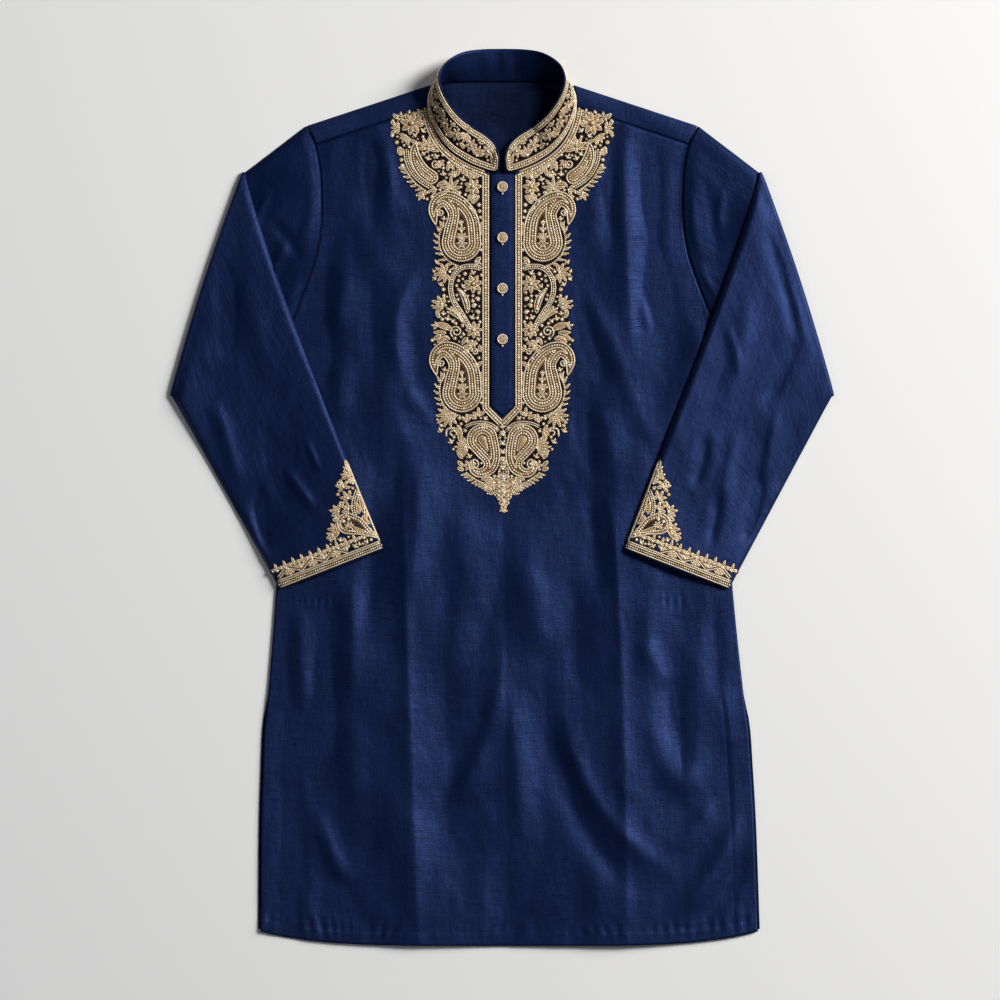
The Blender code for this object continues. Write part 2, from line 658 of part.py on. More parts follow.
class Sleeve:
    """A flattened tube folded back on itself across the upper arm, open at the cuff."""

    def __init__(self, name, side, laid_before):
        self.name = name
        self.side = side
        upper = self.upper_rings()
        tops = [Vector(p) * MM for ring in upper for p in ring[: len(SLEEVE_ACROSS) - 1 : -1]]
        own = BVHTree.FromPolygons(tops, grid_cells(len(upper), len(SLEEVE_ACROSS)))
        self.rest = self.settle([*laid_before, own])
        self.rings = upper + self.turn_rings() + self.lower_rings() + self.pocket_rings()

    def place(self, x, y, z):
        return (self.side * x + drift(y), y, z)

    def settle(self, surfaces):
        """Height of the folded-over half's underside: cloth stretched over what it lies on."""
        needed = np.array(
            [
                [height_below(surfaces, *self.place(*lower_point(s, u), 0.0)[:2]) for u in SLEEVE_ACROSS]
                for s in LOWER_ALONG
            ]
        )
        needed += LAYER_GAP
        needed[0] = SLEEVE_LAYERS + LAYER_GAP
        height = needed.copy()
        for _ in range(SETTLING_STEPS):
            height[1:-1] = 0.5 * height[1:-1] + 0.25 * (height[2:] + height[:-2])
            height[:, 1:-1] = 0.5 * height[:, 1:-1] + 0.25 * (height[:, 2:] + height[:, :-2])
            height = np.maximum(height, needed)
            height[0] = needed[0]
        return height

    def top_at(self, s, u):
        """Height of the folded-over sleeve's upper face, away from its creased edges."""
        swell = [[lower_swell(t, v) for v in SLEEVE_ACROSS] for t in LOWER_ALONG]
        return on_grid(self.rest, s, u) + on_grid(swell, s, u) + SLEEVE_LAYERS

    def upper_rings(self):
        rings = []
        for s in UPPER_ALONG:
            spots = [blend(armhole_point(u), fold_point(u), s) for u in SLEEVE_ACROSS]
            under = [self.place(*spot, 0.0) for spot in spots]
            over = [
                self.place(*spot, layers_at(u) + upper_swell(s, u)) for spot, u in zip(spots, SLEEVE_ACROSS)
            ]
            rings.append(under + over[::-1])
        return rings

    def turn_rings(self):
        """The hairpin at the fold: an outer curve and the inner one that it is wrapped round."""
        rings = []
        floor = SLEEVE_LAYERS + LAYER_GAP
        for turn in np.radians(HAIRPIN_TURNS):
            outer, inner = [], []
            for u in SLEEVE_ACROSS:
                layers = layers_at(u)
                for low, high, line in ((0.0, floor + layers, outer), (layers, floor, inner)):
                    radius = 0.5 * (high - low)
                    x, y = fold_point(u) + fold_outwards() * radius * math.cos(turn)
                    line.append(self.place(x, y, 0.5 * (low + high) + radius * math.sin(turn)))
            rings.append(outer + inner[::-1])
        return rings

    def lower_rings(self):
        rings = []
        for s, rest in zip(LOWER_ALONG, self.rest):
            over, under = [], []
            for u, low in zip(SLEEVE_ACROSS, rest):
                spot = lower_point(s, u)
                under.append(self.place(*spot, low))
                over.append(self.place(*spot, low + layers_at(u) + lower_swell(s, u)))
            rings.append(over + under[::-1])
        return rings

    def pocket_rings(self):
        """The inside of the tube, from the cuff back towards the fold."""
        rings = []
        for s in reversed(LOWER_ALONG):
            if s < POCKET_END:
                break
            over, under = [], []
            for u in SLEEVE_ACROSS:
                v = POCKET_INSET + (1 - 2 * POCKET_INSET) * u
                spot = lower_point(s, v)
                under.append(self.place(*spot, on_grid(self.rest, s, v) + CLOTH))
                over.append(self.place(*spot, self.top_at(s, v) - CLOTH))
            rings.append(over + under[::-1])
        return rings

    def make_solid(self):
        points = [point for ring in self.rings for point in ring]
        faces = tube_faces(len(self.rings), 2 * len(SLEEVE_ACROSS))
        return add_solid(f"sleeve_{self.name}", points, faces, "silk")

    def make_cuff_embroidery(self):
        """A border round the cuff that climbs into a spray at the sleeve's top crease."""
        length = float(np.linalg.norm(cuff_point(0.0) - fold_point(0.0)))
        columns = np.concatenate([np.linspace(0.055, CUFF_SPRAY_SHARE, 8), np.linspace(0.5, 0.945, 6)])
        levels = np.linspace(0, 1, 5)
        low = []
        for u in columns:
            climb = CUFF_SPRAY * (1 - ease(u, 0.05, CUFF_SPRAY_SHARE)) ** 1.2
            for v in levels:
                s = 1 - (CUFF_MARGIN + (CUFF_BORDER + climb - CUFF_MARGIN) * v) / length
                low.append(self.place(*lower_point(s, u), self.top_at(s, u) + EMBROIDERY_GAP))
        low = np.array(low)
        cells = grid_cells(len(columns), len(levels))
        name = f"cuff_embroidery_{self.name}"
        return slab(name, low + (0, 0, EMBROIDERY), low, cells, "gold_thread")


# ---------------------------------------------------------------- chest embroidery

def make_chest_embroidery():
    columns = (0.0, 0.25, 0.5, 0.75, 1.0)
    rows = [hem_row(inner, outer, columns, 1.0) for inner, outer in CHEST_ROWS]
    points, cells = mirrored_sheet(rows, len(columns), 10)
    low = [(x, y, front_height(x, y) + EMBROIDERY_GAP) for x, y in points]
    high = [(x, y, z + EMBROIDERY) for x, y, z in low]
    return slab("chest_embroidery", high, low, cells, "gold_thread")


# ---------------------------------------------------------------- the garment


def surface_of(solid):
    points = [vertex.co for vertex in solid.data.vertices]
    faces = [tuple(polygon.vertices) for polygon in solid.data.polygons]
    return BVHTree.FromPolygons(points, faces)


def build_kurta():
    clear_scene()
    make_back_panel()
    front = make_front_panel()
    make_yoke("yoke_left", 1)
    make_yoke("yoke_right", -1)
    make_collar()
    make_placket("placket_under", SLOT_HALF - SEAM_GAP, 0.0, FRONT_TOP - CLOTH, 0.0)
    strip_low = FRONT_TOP + EMBROIDERY_GAP
    make_placket("placket_strip", STRIP_HALF, STRIP_OFFSET, strip_low, STRIP_CROWN)
    for number in range(1, BUTTON_COUNT + 1):
        make_button(number, strip_low + CLOTH + STRIP_CROWN + SEAM_GAP)
    make_chest_embroidery()
    make_collar_embroidery("collar_embroidery_left", 1)
    make_collar_embroidery("collar_embroidery_right", -1)
    laid_before = [surface_of(front)]
    for name, side in (("left", 1), ("right", -1)):
        sleeve = Sleeve(name, side, laid_before)
        sleeve.make_solid()
        sleeve.make_cuff_embroidery()


build_kurta()
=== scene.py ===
"""A navy silk kurta tunic with gold thread embroidery, laid face up with its sleeves folded in.

The tables are in millimetres, in the model's frame: +Y from the hem to the collar, +X towards the wearer's
left sleeve, z = 0 on the floor. Each piece of cloth is a closed wall over a grid of points. The embroidery is
drawn flat as cords, pads and knots, and then laid on the cloth. Geometry trees make the knots and stitches.
"""

import math

import bpy
import numpy as np
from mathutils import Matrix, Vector
from mathutils.bvhtree import BVHTree
from mathutils.kdtree import KDTree


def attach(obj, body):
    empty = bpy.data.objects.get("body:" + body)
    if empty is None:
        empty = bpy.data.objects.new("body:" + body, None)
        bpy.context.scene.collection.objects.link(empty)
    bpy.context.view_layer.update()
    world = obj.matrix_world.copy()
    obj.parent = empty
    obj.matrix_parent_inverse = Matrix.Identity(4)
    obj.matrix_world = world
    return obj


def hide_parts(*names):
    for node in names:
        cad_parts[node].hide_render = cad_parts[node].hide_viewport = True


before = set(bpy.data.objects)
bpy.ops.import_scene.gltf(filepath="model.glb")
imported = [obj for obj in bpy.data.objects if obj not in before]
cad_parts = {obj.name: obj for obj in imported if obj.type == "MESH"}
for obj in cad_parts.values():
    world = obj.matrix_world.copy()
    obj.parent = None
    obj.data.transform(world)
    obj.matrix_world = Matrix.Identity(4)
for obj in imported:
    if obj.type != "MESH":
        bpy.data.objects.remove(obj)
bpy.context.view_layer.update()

MM = 0.001

# Thickness of the cloth, the gaps at seams and between layers, and the levels of the laid panels
CLOTH = 0.9
SEAM_GAP = 0.5
LAYER_GAP = 0.9
BACK_TOP = 1.2
FRONT_TOP = 2.9

# The body's half outline and its main seams. Below DRIFT_FROM_Y the garment leans a little to +X.
HEM_CENTRE_Y = -523.6
HEM_CORNER_Y = -507.0
HEM_CURVE_POWER = 4.6
HEM_DEPTH = 17.0
SLIT_TOP_Y = -224.0
SLIT_HEM = 25.0
UNDERARM_X = 257.4
UNDERARM_Y = 176.0
SHOULDER_NECK = (84.0, 482.5)
SHOULDER_TIP = (228.7, 434.7)
YOKE_SEAM_NECK = (87.0, 457.5)
YOKE_SEAM_ARM = (217.6, 413.6)
DRIFT_FROM_Y = 100.0
DRIFT_PER_MM = 0.0135
# Where the stitching of the side pockets puckers the front, and the least air between front and back
POCKET_Y = -122.0
POCKET_X = (158.0, 262.0)
LEAST_GAP = 0.3
# Columns: y, half_width
SIDE_TABLE = (
    (-507, 291), (-388, 288.5), (-318, 285.5), (-271, 283), (-224, 277.5), (-107, 267), (40, 258.5),
    (176, 257.4), (211.2, 243.4), (244, 230.5), (281.4, 217.6), (320, 210.8), (361, 210.4), (390.2, 212.6),
    (413.6, 217.6),
)

# Placket and buttons
SLOT_HALF = 14.5
SLOT_CORNER_Y = 107.0
SLOT_TIP_Y = 94.4
PLACKET_TOP_Y = 381.0
STRIP_HALF = 13.4
STRIP_OFFSET = 0.5
BUTTON_FIRST_Y = 363.9
BUTTON_PITCH = 59.4
BUTTON_COUNT = 4

# Collar: half of the band, from its front end round to the middle of the back
BAND_HEIGHT = 38.5
BAND_WALL = 1.8
BAND_LEAST_RISE = 4.0
NECK_CENTRE = (0.0, 442.0)
# Columns: foot_x, foot_y, foot_z, edge_x, edge_y
COLLAR_TABLE = (
    (4.3, 380.8, 4.4, 1.4, 416.6), (16.4, 383.2, 4.4, 7, 421.6), (32.8, 389, 4.4, 19, 427.8),
    (46.8, 396.6, 4.4, 30.4, 432.4), (57.3, 404.2, 4.4, 41, 437.6), (68.4, 415.9, 4.4, 50.3, 445.2),
    (77.2, 430, 4.4, 58.5, 454.5), (83.7, 446.4, 4.4, 65.5, 465.1), (86, 461.6, 4.4, 70.8, 476.8),
    (83.1, 474.4, 4.3, 72.9, 489.6), (74.9, 482, 3.9, 68, 503), (62, 486.1, 3.2, 56.8, 513),
    (44.5, 487.3, 2.8, 42.2, 519.7), (23.4, 487.3, 2.6, 22.8, 522.6), (0, 487.3, 2.6, 0, 523.2),
)

# Sleeves, seen from above: the fold across the upper arm, and the cuff
FOLD_TOP = (300.6, 380.5)
FOLD_ELBOW = (385.5, 118.6)
FOLD_BULGE = 3.5
CUFF_INNER = (140.0, -59.5)
CUFF_OUTER = (263.0, -105.8)
CUFF_BULGE = 2.0
TOP_CREASE_BOW = 8.0
CUFF_GAPE = 2.2
# How far the inner edge moves out for each millimetre up from the cuff
SLEEVE_EDGE_SLOPE = 0.397
# Height of the flattened sleeve, the share of it left at its creased edges, and how far in they reach
SLEEVE_LAYERS = 3.4
SLEEVE_EDGE_SHARE = 0.5
SLEEVE_EDGE_REACH = 0.05

# How strongly and how widely the folds stand out, of front panel and sleeves alike
FOLD_STRENGTH = 1.35
FOLD_SPREAD = 1.05

# The front panel is pressed in three: it rises from each side to a crease and sags a little between them
# Columns: x, lift
PRESSED_LIFT = (
    (-262, 0), (-200, 1.4), (-117, 5.8), (-70, 3.6), (0, 2.8), (76, 3.4), (131, 5.8), (205, 1.4), (262, 0),
)
# Slow swells of the laid cloth
# Columns: across, along, height, slant, seed
FRONT_SWELLS = (
    (84, 230, 2.2, 0, 5), (38, 120, 1.1, 0.15, 6), (60, 110, 1.3, 0.6, 8), (20, 64, 0.45, -0.2, 9),
    (11, 26, 0.2, 0.5, 10),
)
SLEEVE_SWELLS = (
    (52.0, 110.0, 1.5, 0.0, 41),
    (26.0, 60.0, 0.6, 0.3, 42),
    (11.0, 26.0, 0.2, -0.4, 43),
)
# The same for the share of its sheen that the sleeves' cloth loses
SLEEVE_DULLING = ((34.0, 52.0, 0.22, 0.4, 44), (15.0, 30.0, 0.12, -0.5, 45))

# Folds of the front panel, each a soft ridge (or a trough, where height is negative) through three points.
# A crease of 1 is pressed sharp.
# Columns: x0, y0, x1, y1, x2, y2, half_width, height, crease
FRONT_FOLDS = (
    (-117, 21, -113, -236, -104, -622, 26, 2.61, 1),
    (119, -2, 135, -166, 138, -647, 26, 2.9, 1),
    (-98, 33, -103, -49, -110, -119, 20, 3, 0.25),
    (-152, 33, -154, -73, -159, -166, 22, -2.2, 0.25),
    (-181, -102, -178, -166, -185, -236, 16, 2.6, 0.25),
    (-240, -131, -239, -190, -233, -260, 18, 2.4, 0.25),
    (-207, -166, -211, -236, -201, -307, 20, -2.4, 0.25),
    (-221, -371, -207, -412, -186, -453, 14, 2.6, 0.25),
    (-184, -260, -176, -342, -178, -424, 24, 1.6, 0.25),
    (-240, -307, -233, -412, -237, -538, 18, 1.6, 0.25),
    (-201, -435, -184, -476, -141, -531, 20, -1.6, 0.25),
    (-1, -166, -28, -289, -84, -365, 18, 3.2, 0.25),
    (-22, -213, -47, -307, -96, -377, 20, -2.4, 0.25),
    (5, -225, 11, -307, 19, -400, 22, 3.2, 0.25),
    (30, -73, 37, -131, 44, -178, 26, 2.6, 0.25),
    (44, -166, 46, -283, 40, -424, 26, -2, 0.25),
    (-2, -73, -16, -131, -37, -190, 20, -1.8, 0.25),
    (-47, -26, -51, -108, -61, -190, 26, 2, 0.25),
    (-73, -166, -66, -283, -58, -424, 30, -1.4, 0.25),
    (67, -248, 103, -353, 188, -438, 15, 3.2, 0.25),
    (54, -271, 85, -377, 150, -459, 18, -2.8, 0.25),
    (161, -236, 194, -325, 220, -309, 20, 2.4, 0.25),
    (157, -166, 176, -192, 194, -225, 16, 2.6, 0.25),
    (179, -166, 194, -236, 204, -307, 18, -2.2, 0.25),
    (267, -84, 269, -131, 271, -190, 16, 2.8, 0.25),
    (246, -119, 248, -178, 248, -236, 16, -2.4, 0.25),
    (276, -371, 239, -438, 199, -484, 16, 3, 0.25),
    (284, -412, 257, -459, 207, -514, 16, -2.4, 0.25),
    (242, -353, 220, -388, 190, -412, 16, 2.2, 0.25),
    (85, -73, 83, -166, 88, -260, 24, -2.2, 0.25),
    (103, 33, 105, -49, 112, -119, 18, -2.4, 0.25),
    (167, -119, 168, -178, 173, -260, 22, 1.8, 0.25),
    (220, -166, 225, -260, 213, -353, 22, 1.8, 0.25),
    (101, -424, 105, -470, 102, -533, 22, 1.6, 0.25),
    (-26, -424, -30, -470, -25, -533, 24, 1.4, 0.25),
    (-184, 276, -186, 232, -193, 197, 16, 2.34, 0.25),
    (-185, 161, -190, 124, -187, 91, 18, 2.34, 0.25),
    (-214, 243, -211, 197, -201, 115, 16, -1.87, 0.25),
    (-98, 269, -124, 202, -110, 132, 14, 2.34, 0.25),
    (-115, 121, -96, 109, -77, 80, 14, 1.87, 0.25),
    (-150, 267, -152, 208, -145, 126, 18, -2.03, 0.25),
    (-133, 433, -131, 390, -133, 331, 16, 2.18, 0.25),
    (-152, 431, -152, 372, -150, 302, 14, -1.56, 0.25),
    (-201, 431, -205, 395, -204, 355, 18, 1.56, 0.25),
    (-178, 337, -176, 302, -171, 267, 22, -1.25, 0.25),
    (140, 442, 145, 302, 154, 150, 18, 2.65, 0.25),
    (122, 431, 126, 349, 131, 278, 13, -2.18, 0.25),
    (173, 407, 176, 302, 180, 197, 24, -1.25, 0.25),
    (80, 232, 103, 179, 122, 132, 15, -2.34, 0.25),
    (101, 232, 129, 179, 145, 126, 16, 1.87, 0.25),
    (147, 138, 159, 103, 176, 68, 18, 2.03, 0.25),
    (110, 115, 122, 80, 126, 33, 16, 1.72, 0.25),
    (85, 115, 98, 68, 105, 21, 16, -1.72, 0.25),
    (167, 232, 168, 213, 173, 191, 7, 1.09, 0.25),
    (199, 407, 197, 337, 199, 278, 16, 1.72, 0.25),
    (-119, 68, -124, 33, -129, -14, 20, -2, 0.25),
    (-178, 56, -171, -2, -166, -73, 22, 1.8, 0.25),
    (252, 222, 219, 145, 186, 54, 26, 3.4, 0.25),
    (-196, 330, -212, 280, -226, 225, 20, -2.2, 0.25),
)

# Half width of the embroidered chest, which keeps the cloth under it flat
# Columns: y, half_width
STITCHED_TABLE = (
    (-46, -34), (-16, 0), (10, 16), (30, 36), (60, 56), (100, 76), (340, 82), (360, 102), (400, 122),
    (450, 132),
)

# Thickness of the placket's under strip, and the underside and crown of its top strip
UNDER_THICK = 1.2
STRIP_LOW = 3.3
STRIP_CROWN = 0.3

# A button, from its underside up, and the place of the small bead below it
BUTTON_DROP = 7.9
# Columns: radius, height
BUTTON_PROFILE = (
    (0, 0), (2, 0), (2, 2), (5.3, 2.2), (6.1, 2.7), (6.15, 3.2), (5.8, 3.7), (5.2, 3.65), (4.7, 3),
    (0, 2.9),
)
BUTTON_HOLLOW = ((0.0, 2.8), (4.8, 2.8), (4.8, 3.12), (0.0, 3.12))
# Columns: count, ring_radius, height, size
BUTTON_GRAINS = ((18, 5.5, 3.5, 0.55), (11, 3.75, 3.2, 0.76), (6, 1.95, 3.35, 0.72), (1, 0.0, 3.45, 0.8))

# The view, straight down, in metres
FRAME_WIDTH = 1.17
FRAME_CENTRE = (-0.00234, -0.00234)
FLOOR_HALF = 4.0
FLOOR_GAP = 0.0002

# Rise of the back panel's inside behind the neck
NECK_RISE = 6.0

# Sleeves: their wall, and the flat cut in metres
SLEEVE_WALL = 0.7
# By side, left 1 and right -1: the roll of the inner edge, the fall of the upper arm, and the painted shade,
# as a share of sheen taken away, on the upper arm and on what is folded over it
SLEEVE_ROLL = {1: 2.6, -1: 0.3}
UPPER_ARM_FALL = {1: 0.0, -1: 0.8}
SLEEVE_PAINTED_SHADE = {1: (0.5, 0.0), -1: (0.6, 0.25)}
# Folds as above, each on the upper arm or on the half that is folded over it
UPPER_HALF, LOWER_HALF = 0, 1
# Columns: x0, y0, x1, y1, x2, y2, half_width, height, crease, half
LEFT_SLEEVE_FOLDS = (
    (308.9, 315.9, 332.3, 241, 345.1, 184.9, 9, -2.2, 0.1, LOWER_HALF),
    (346.3, 189.5, 327.6, 147.4, 306.5, 110, 10, -2.2, 0, LOWER_HALF),
    (345.1, 91.3, 332.3, 46.8, 318.2, 7, 9, -1.6, 0, LOWER_HALF),
    (301.9, 32.8, 291.3, -14, 280.8, -49.1, 8, -2.2, 0, LOWER_HALF),
    (238.7, 72.5, 231.7, 42.1, 223.5, 14, 8, -2.4, 0, LOWER_HALF),
    (251.5, 4.7, 246.9, -25.7, 239.8, -58.5, 7, -2, 0, LOWER_HALF),
    (262.1, 201.2, 271.4, 173.2, 276.1, 142.7, 7, 1.3, 0.1, LOWER_HALF),
    (287.8, 243.4, 279.6, 173.2, 253.9, 85.4, 14, 1.6, 0, LOWER_HALF),
    (273.8, 79.6, 264.4, 32.8, 255.1, -9.4, 10, 1.6, 0, LOWER_HALF),
    (320.6, 107.6, 313.6, 56.2, 301.9, 16.4, 8, 1.4, 0, LOWER_HALF),
    (284.3, -10.5, 301.9, -16.4, 320.6, -24.6, 2.6, 0.6, 1, LOWER_HALF),
    (218.8, 362.7, 223.5, 319.4, 231.7, 283.1, 8, 1.7, 0, UPPER_HALF),
    (236.3, 369.7, 245.7, 331.1, 250.4, 287.8, 6, -1.8, 0, UPPER_HALF),
    (259.7, 362.7, 253.9, 331.1, 245.7, 298.3, 5, 1.4, 0.1, UPPER_HALF),
    (231.7, 272.6, 239.8, 252.7, 250.4, 236.3, 5, 1.2, 0.1, UPPER_HALF),
)
RIGHT_SLEEVE_FOLDS = (
    (-327.6, 276.1, -319.4, 208.3, -326.4, 166.1, 15, -2.4, 0, LOWER_HALF),
    (-351, 170.8, -344, 157.9, -335.8, 147.4, 3, 0.9, 1, LOWER_HALF),
    (-337, 110, -321.8, 67.9, -308.9, 16.4, 11, 2.3, 0, LOWER_HALF),
    (-252.7, 32.8, -236.3, 9.4, -220, -11.7, 7, 2.4, 0.25, LOWER_HALF),
    (-229.3, 67.9, -222.3, 50.3, -214.1, 32.8, 5, 1.4, 0.2, LOWER_HALF),
    (-241, -37.4, -224.6, -23.4, -203.6, -12.9, 2.6, 0.8, 1, LOWER_HALF),
    (-278.5, 85.4, -265.6, 35.1, -255.1, -8.2, 9, -1.6, 0, LOWER_HALF),
    (-285.5, 21.1, -284.3, -25.7, -276.1, -63.2, 9, -1.5, 0, LOWER_HALF),
    (-303, -8.2, -287.8, -49.1, -273.8, -84.2, 8, 1.3, 0, LOWER_HALF),
    (-300.7, 255.1, -285.5, 196.6, -273.8, 138.1, 16, 1.2, 0, LOWER_HALF),
    (-237.5, 67.9, -236.3, 57.3, -236.3, 46.8, 3, 0.7, 0.6, LOWER_HALF),
    (-290.2, 360.4, -298.3, 339.3, -301.9, 322.9, 5, -1.2, 0, UPPER_HALF),
    (-271.4, 355.7, -284.3, 332.3, -293.7, 308.9, 6, 2, 0.1, UPPER_HALF),
    (-251.5, 298.3, -262.1, 276.1, -271.4, 252.7, 6, 2, 0.1, UPPER_HALF),
    (-231.7, 251.5, -243.4, 236.3, -255.1, 224.6, 5, 1.6, 0.1, UPPER_HALF),
    (-269.1, 322.9, -250.4, 301.9, -236.3, 276.1, 6, -1.6, 0, UPPER_HALF),
    (-236.3, 301.9, -224.6, 322.9, -216.4, 353.3, 6, 1.2, 0, UPPER_HALF),
)

# The cord round small petals and leaves, the dark ground beyond it, which paints the shade round them, and
# how far the fringes' leaves lean
PETAL_CORD = 0.62
PETAL_BASE = 0.45
CORE_RISE = 0.9
PETAL_GROUND = 1.9
FRINGE_LEAN = 0.7
# Sections of a cord: the share of its radius across, and upwards
FULL_CORD = ((-1.0, -0.3), (-0.72, 0.62), (0.0, 1.0), (0.72, 0.62), (1.0, -0.3))
FINE_CORD = ((-1.0, -0.1), (0.0, 1.0), (1.0, -0.1))
# Widest cord that has the fine section
FINEST = 0.7
# A knot has this many sides; the rest are shares of its radius
KNOT = {"Sides": 7, "Sunk": 0.2, "Shoulder Width": 0.76, "Shoulder Height": 0.6, "Crown Height": 0.92}

# Border and paisley rows: thin cords and rows of beads by turns
ROW_CORD = 0.95
ROW_BEAD = 1.36
ROW_STEP = 3.25

# Chest embroidery: borders, and the motifs of the wearer's left half, which is mirrored
NECK_BORDER = (
    (21.3, 378.8), (42.0, 387.6), (59.6, 398.4), (74.2, 413.0), (83.0, 428.6), (87.7, 442.3), (90.1, 455.1),
)
PLACKET_BORDER = ((19.3, 377.9), (19.3, 105.3), (1.8, 87.4))
# Columns: x, y, radius
PAISLEY = (
    (47.6, 299.5, 23.4), (46.4, 322.9, 19.7), (50.5, 337, 15.2), (59.3, 346.3, 11.9), (68.7, 349.5, 9.4),
    (76.9, 344.6, 7.7), (80.4, 335.8, 6.1), (79.2, 326.4, 3.7), (76.9, 317.7, 0.4),
)
SMALL_PAISLEY = (
    (23.6, 67.9, 18.5), (17.2, 55, 14.5), (13.7, 44.5, 10.5), (15.4, 35.7, 8), (21.3, 30.4, 6.3),
    (28.9, 29.2, 5.4), (35.3, 33.3, 4.4), (36.5, 40.4, 3), (33.6, 45, 0.9),
)
WING = (
    (83, 375, 8.3), (92.2, 382, 8), (98.8, 391.6, 7.3), (102, 401, 6.1), (102.6, 407.9, 4.6),
    (101.9, 412.8, 2.6), (101.2, 415.5, 0.6),
)
PAISLEY_DROP = (-0.8, -176.1)
# Columns: x, y, radius, petals, turn
FLOWERS = (
    (105.5, 438.2, 13.5, 8, 10), (105.5, 438.2, 8.2, 6, 30), (97.3, 450.4, 5.4, 5, 0),
    (118.4, 445.8, 6.1, 5, 20), (34.2, 363.9, 10.1, 7, 22), (34.2, 365, 6.3, 5, 0),
    (33.6, 250.4, 11, 7, 15), (33.6, 250.4, 6.3, 5, 0), (33.2, 196.6, 9.8, 8, 0), (33.2, 196.6, 5.6, 5, 0),
    (86.8, 411.8, 8.2, 6, 30), (71, 227, 7, 6, 20), (40, 38, 7, 6, 0), (47.4, 297.8, 6.3, 6, 0),
    (46.6, 121.7, 6.3, 6, 0),
)
# Columns: x, y, angle, radius, petals, spread
PALMETTES = (
    (59.9, 361.5, 90, 15.2, 7, 240), (66.9, 263.2, -10, 14, 7, 230), (34.2, 374.4, 90, 9.4, 5, 150),
    (34.2, 355.7, -90, 9.9, 5, 120), (35.3, 183.7, -80, 9.4, 5, 140), (70.4, 226.4, 20, 12.9, 5, 170),
    (62.2, 97.1, -35, 17, 7, 190), (86.8, 408.3, 98, 16.4, 7, 190), (40, 58.5, 5, 17, 7, 120),
    (42.4, 88.9, 95, 9.9, 3, 80), (48.2, 79.6, -20, 9.4, 4, 140), (14.3, 16.4, -40, 10.5, 5, 160),
    (27.1, 95.9, 85, 10.5, 3, 110), (63.4, 391.9, 205, 11.7, 4, 130), (14.3, 23.4, -45, 12.9, 5, 140),
    (120.7, 432.9, 0, 9.4, 5, 150), (112.6, 423.5, -60, 9.4, 5, 150), (95, 441.1, 250, 7, 4, 130),
    (73.9, 393.1, 235, 8.2, 4, 130), (58.7, 381.4, 250, 7.6, 4, 130), (37.7, 177.8, -60, 9.4, 3, 110),
    (93.8, 356.3, -65, 9.4, 3, 90), (47.4, 303, 90, 9.4, 5, 130), (47.6, 311.8, 90, 8.2, 3, 80),
    (48, 319.4, 90, 6.4, 3, 60), (46.6, 126.9, 90, 9.4, 5, 130), (46.8, 135.7, 90, 8.2, 3, 80),
    (47.2, 143.3, 90, 6.4, 3, 60), (77.5, 360.4, -10, 9.4, 3, 100), (30.7, 276.1, 200, 7, 3, 100),
    (116.1, 407.2, -30, 8.2, 3, 120), (24.2, 84.2, 190, 7, 3, 100), (76.3, 201.2, 10, 7, 3, 110),
)
# Columns: x0, y0, x1, y1, width, bend
LEAVES = (
    (40.6, 215.9, 52.9, 245.7, 6.8, 0.12), (42.4, 210.6, 60.5, 224.6, 4.9, -0.1),
    (45.9, 204.8, 65.8, 217.6, 4.2, 0.15), (58.7, 195.4, 77.5, 204.2, 5.4, 0.1),
    (61.1, 186, 70.4, 187.8, 4, 0), (71.6, 190.1, 81, 184.9, 4, 0), (63.4, 196.6, 78.6, 202.4, 4.7, 0.1),
    (65.8, 193, 80.4, 193.6, 4.4, 0), (34.2, 354.5, 34.2, 344, 5.1, 0), (41.2, 376.7, 44.7, 384.9, 4, 0),
    (121.9, 443.4, 127.8, 449.9, 3.7, 0), (125.4, 436.4, 130.1, 441.1, 3.5, 0),
    (124.3, 429.4, 130.1, 425.9, 3.5, 0), (64.6, 189.5, 76.3, 181.3, 4.4, 0), (47, 37.4, 52.9, 43.3, 4, 0),
    (45.9, 32.8, 53.5, 35.1, 4, 0), (47.6, 78.4, 47.6, 64.3, 4.7, 0.15), (54.6, 93.6, 65.2, 98.9, 4.4, 0),
    (30.1, 93, 40, 97.1, 3.7, 0), (25.4, 281.4, 31.2, 270.3, 4.7, 0.1), (26.6, 353.3, 33, 344, 3.5, 0.1),
    (23.6, 159.1, 31.2, 148.6, 3.5, 0.1), (46.4, 379.1, 47.6, 389.6, 3.7, 0.1),
    (52.9, 376.7, 49.4, 387.9, 3.5, 0), (98.5, 411.8, 109.6, 418.3, 3.3, 0.15),
    (120.7, 410.7, 117.8, 400.1, 3.5, 0.1), (72.8, 210.6, 76.3, 220.5, 3.5, -0.1),
    (24.2, 147.4, 24.6, 131, 3, 0), (24, 322.9, 24.3, 306.5, 3, 0), (68.1, 322.9, 71.6, 312.4, 3, 0.1),
    (67.3, 146.2, 71, 135.7, 3, 0.1), (34.2, 351, 41.2, 348.7, 3.3, 0), (52.9, 53.8, 47, 45.6, 3.7, 0),
    (64.6, 367.4, 76.3, 363.9, 3.5, 0.2), (26, 179, 24.2, 170.8, 3.5, 0.1), (40, 187.2, 47, 179, 3.7, 0.1),
)
# Columns: x, y, radius, start, turns, way
SCROLLS = (
    (78, 390.8, 5.4, 200, 1.2, 1), (110, 415.3, 3.5, 150, 1, -1), (53.7, 194.6, 7.3, -60, 1.5, 1),
    (33.6, 39.2, 6.1, 80, 1.2, 1), (31.8, 170.8, 4.2, 60, 1.1, 1), (58.7, 74.9, 5.4, 190, 0.7, -1),
    (28.5, 232.2, 3, 0, 1.1, 1), (33, 224.6, 3, 180, 1.1, -1), (28.5, 217, 3, 0, 1.1, 1),
    (72.2, 334, 4.9, 60, 1.3, -1), (71.4, 157.9, 4.9, 60, 1.3, -1), (42.4, 170.8, 3.5, 200, 1, -1),
    (52.9, 387.9, 3.7, 0, 1, 1),
)
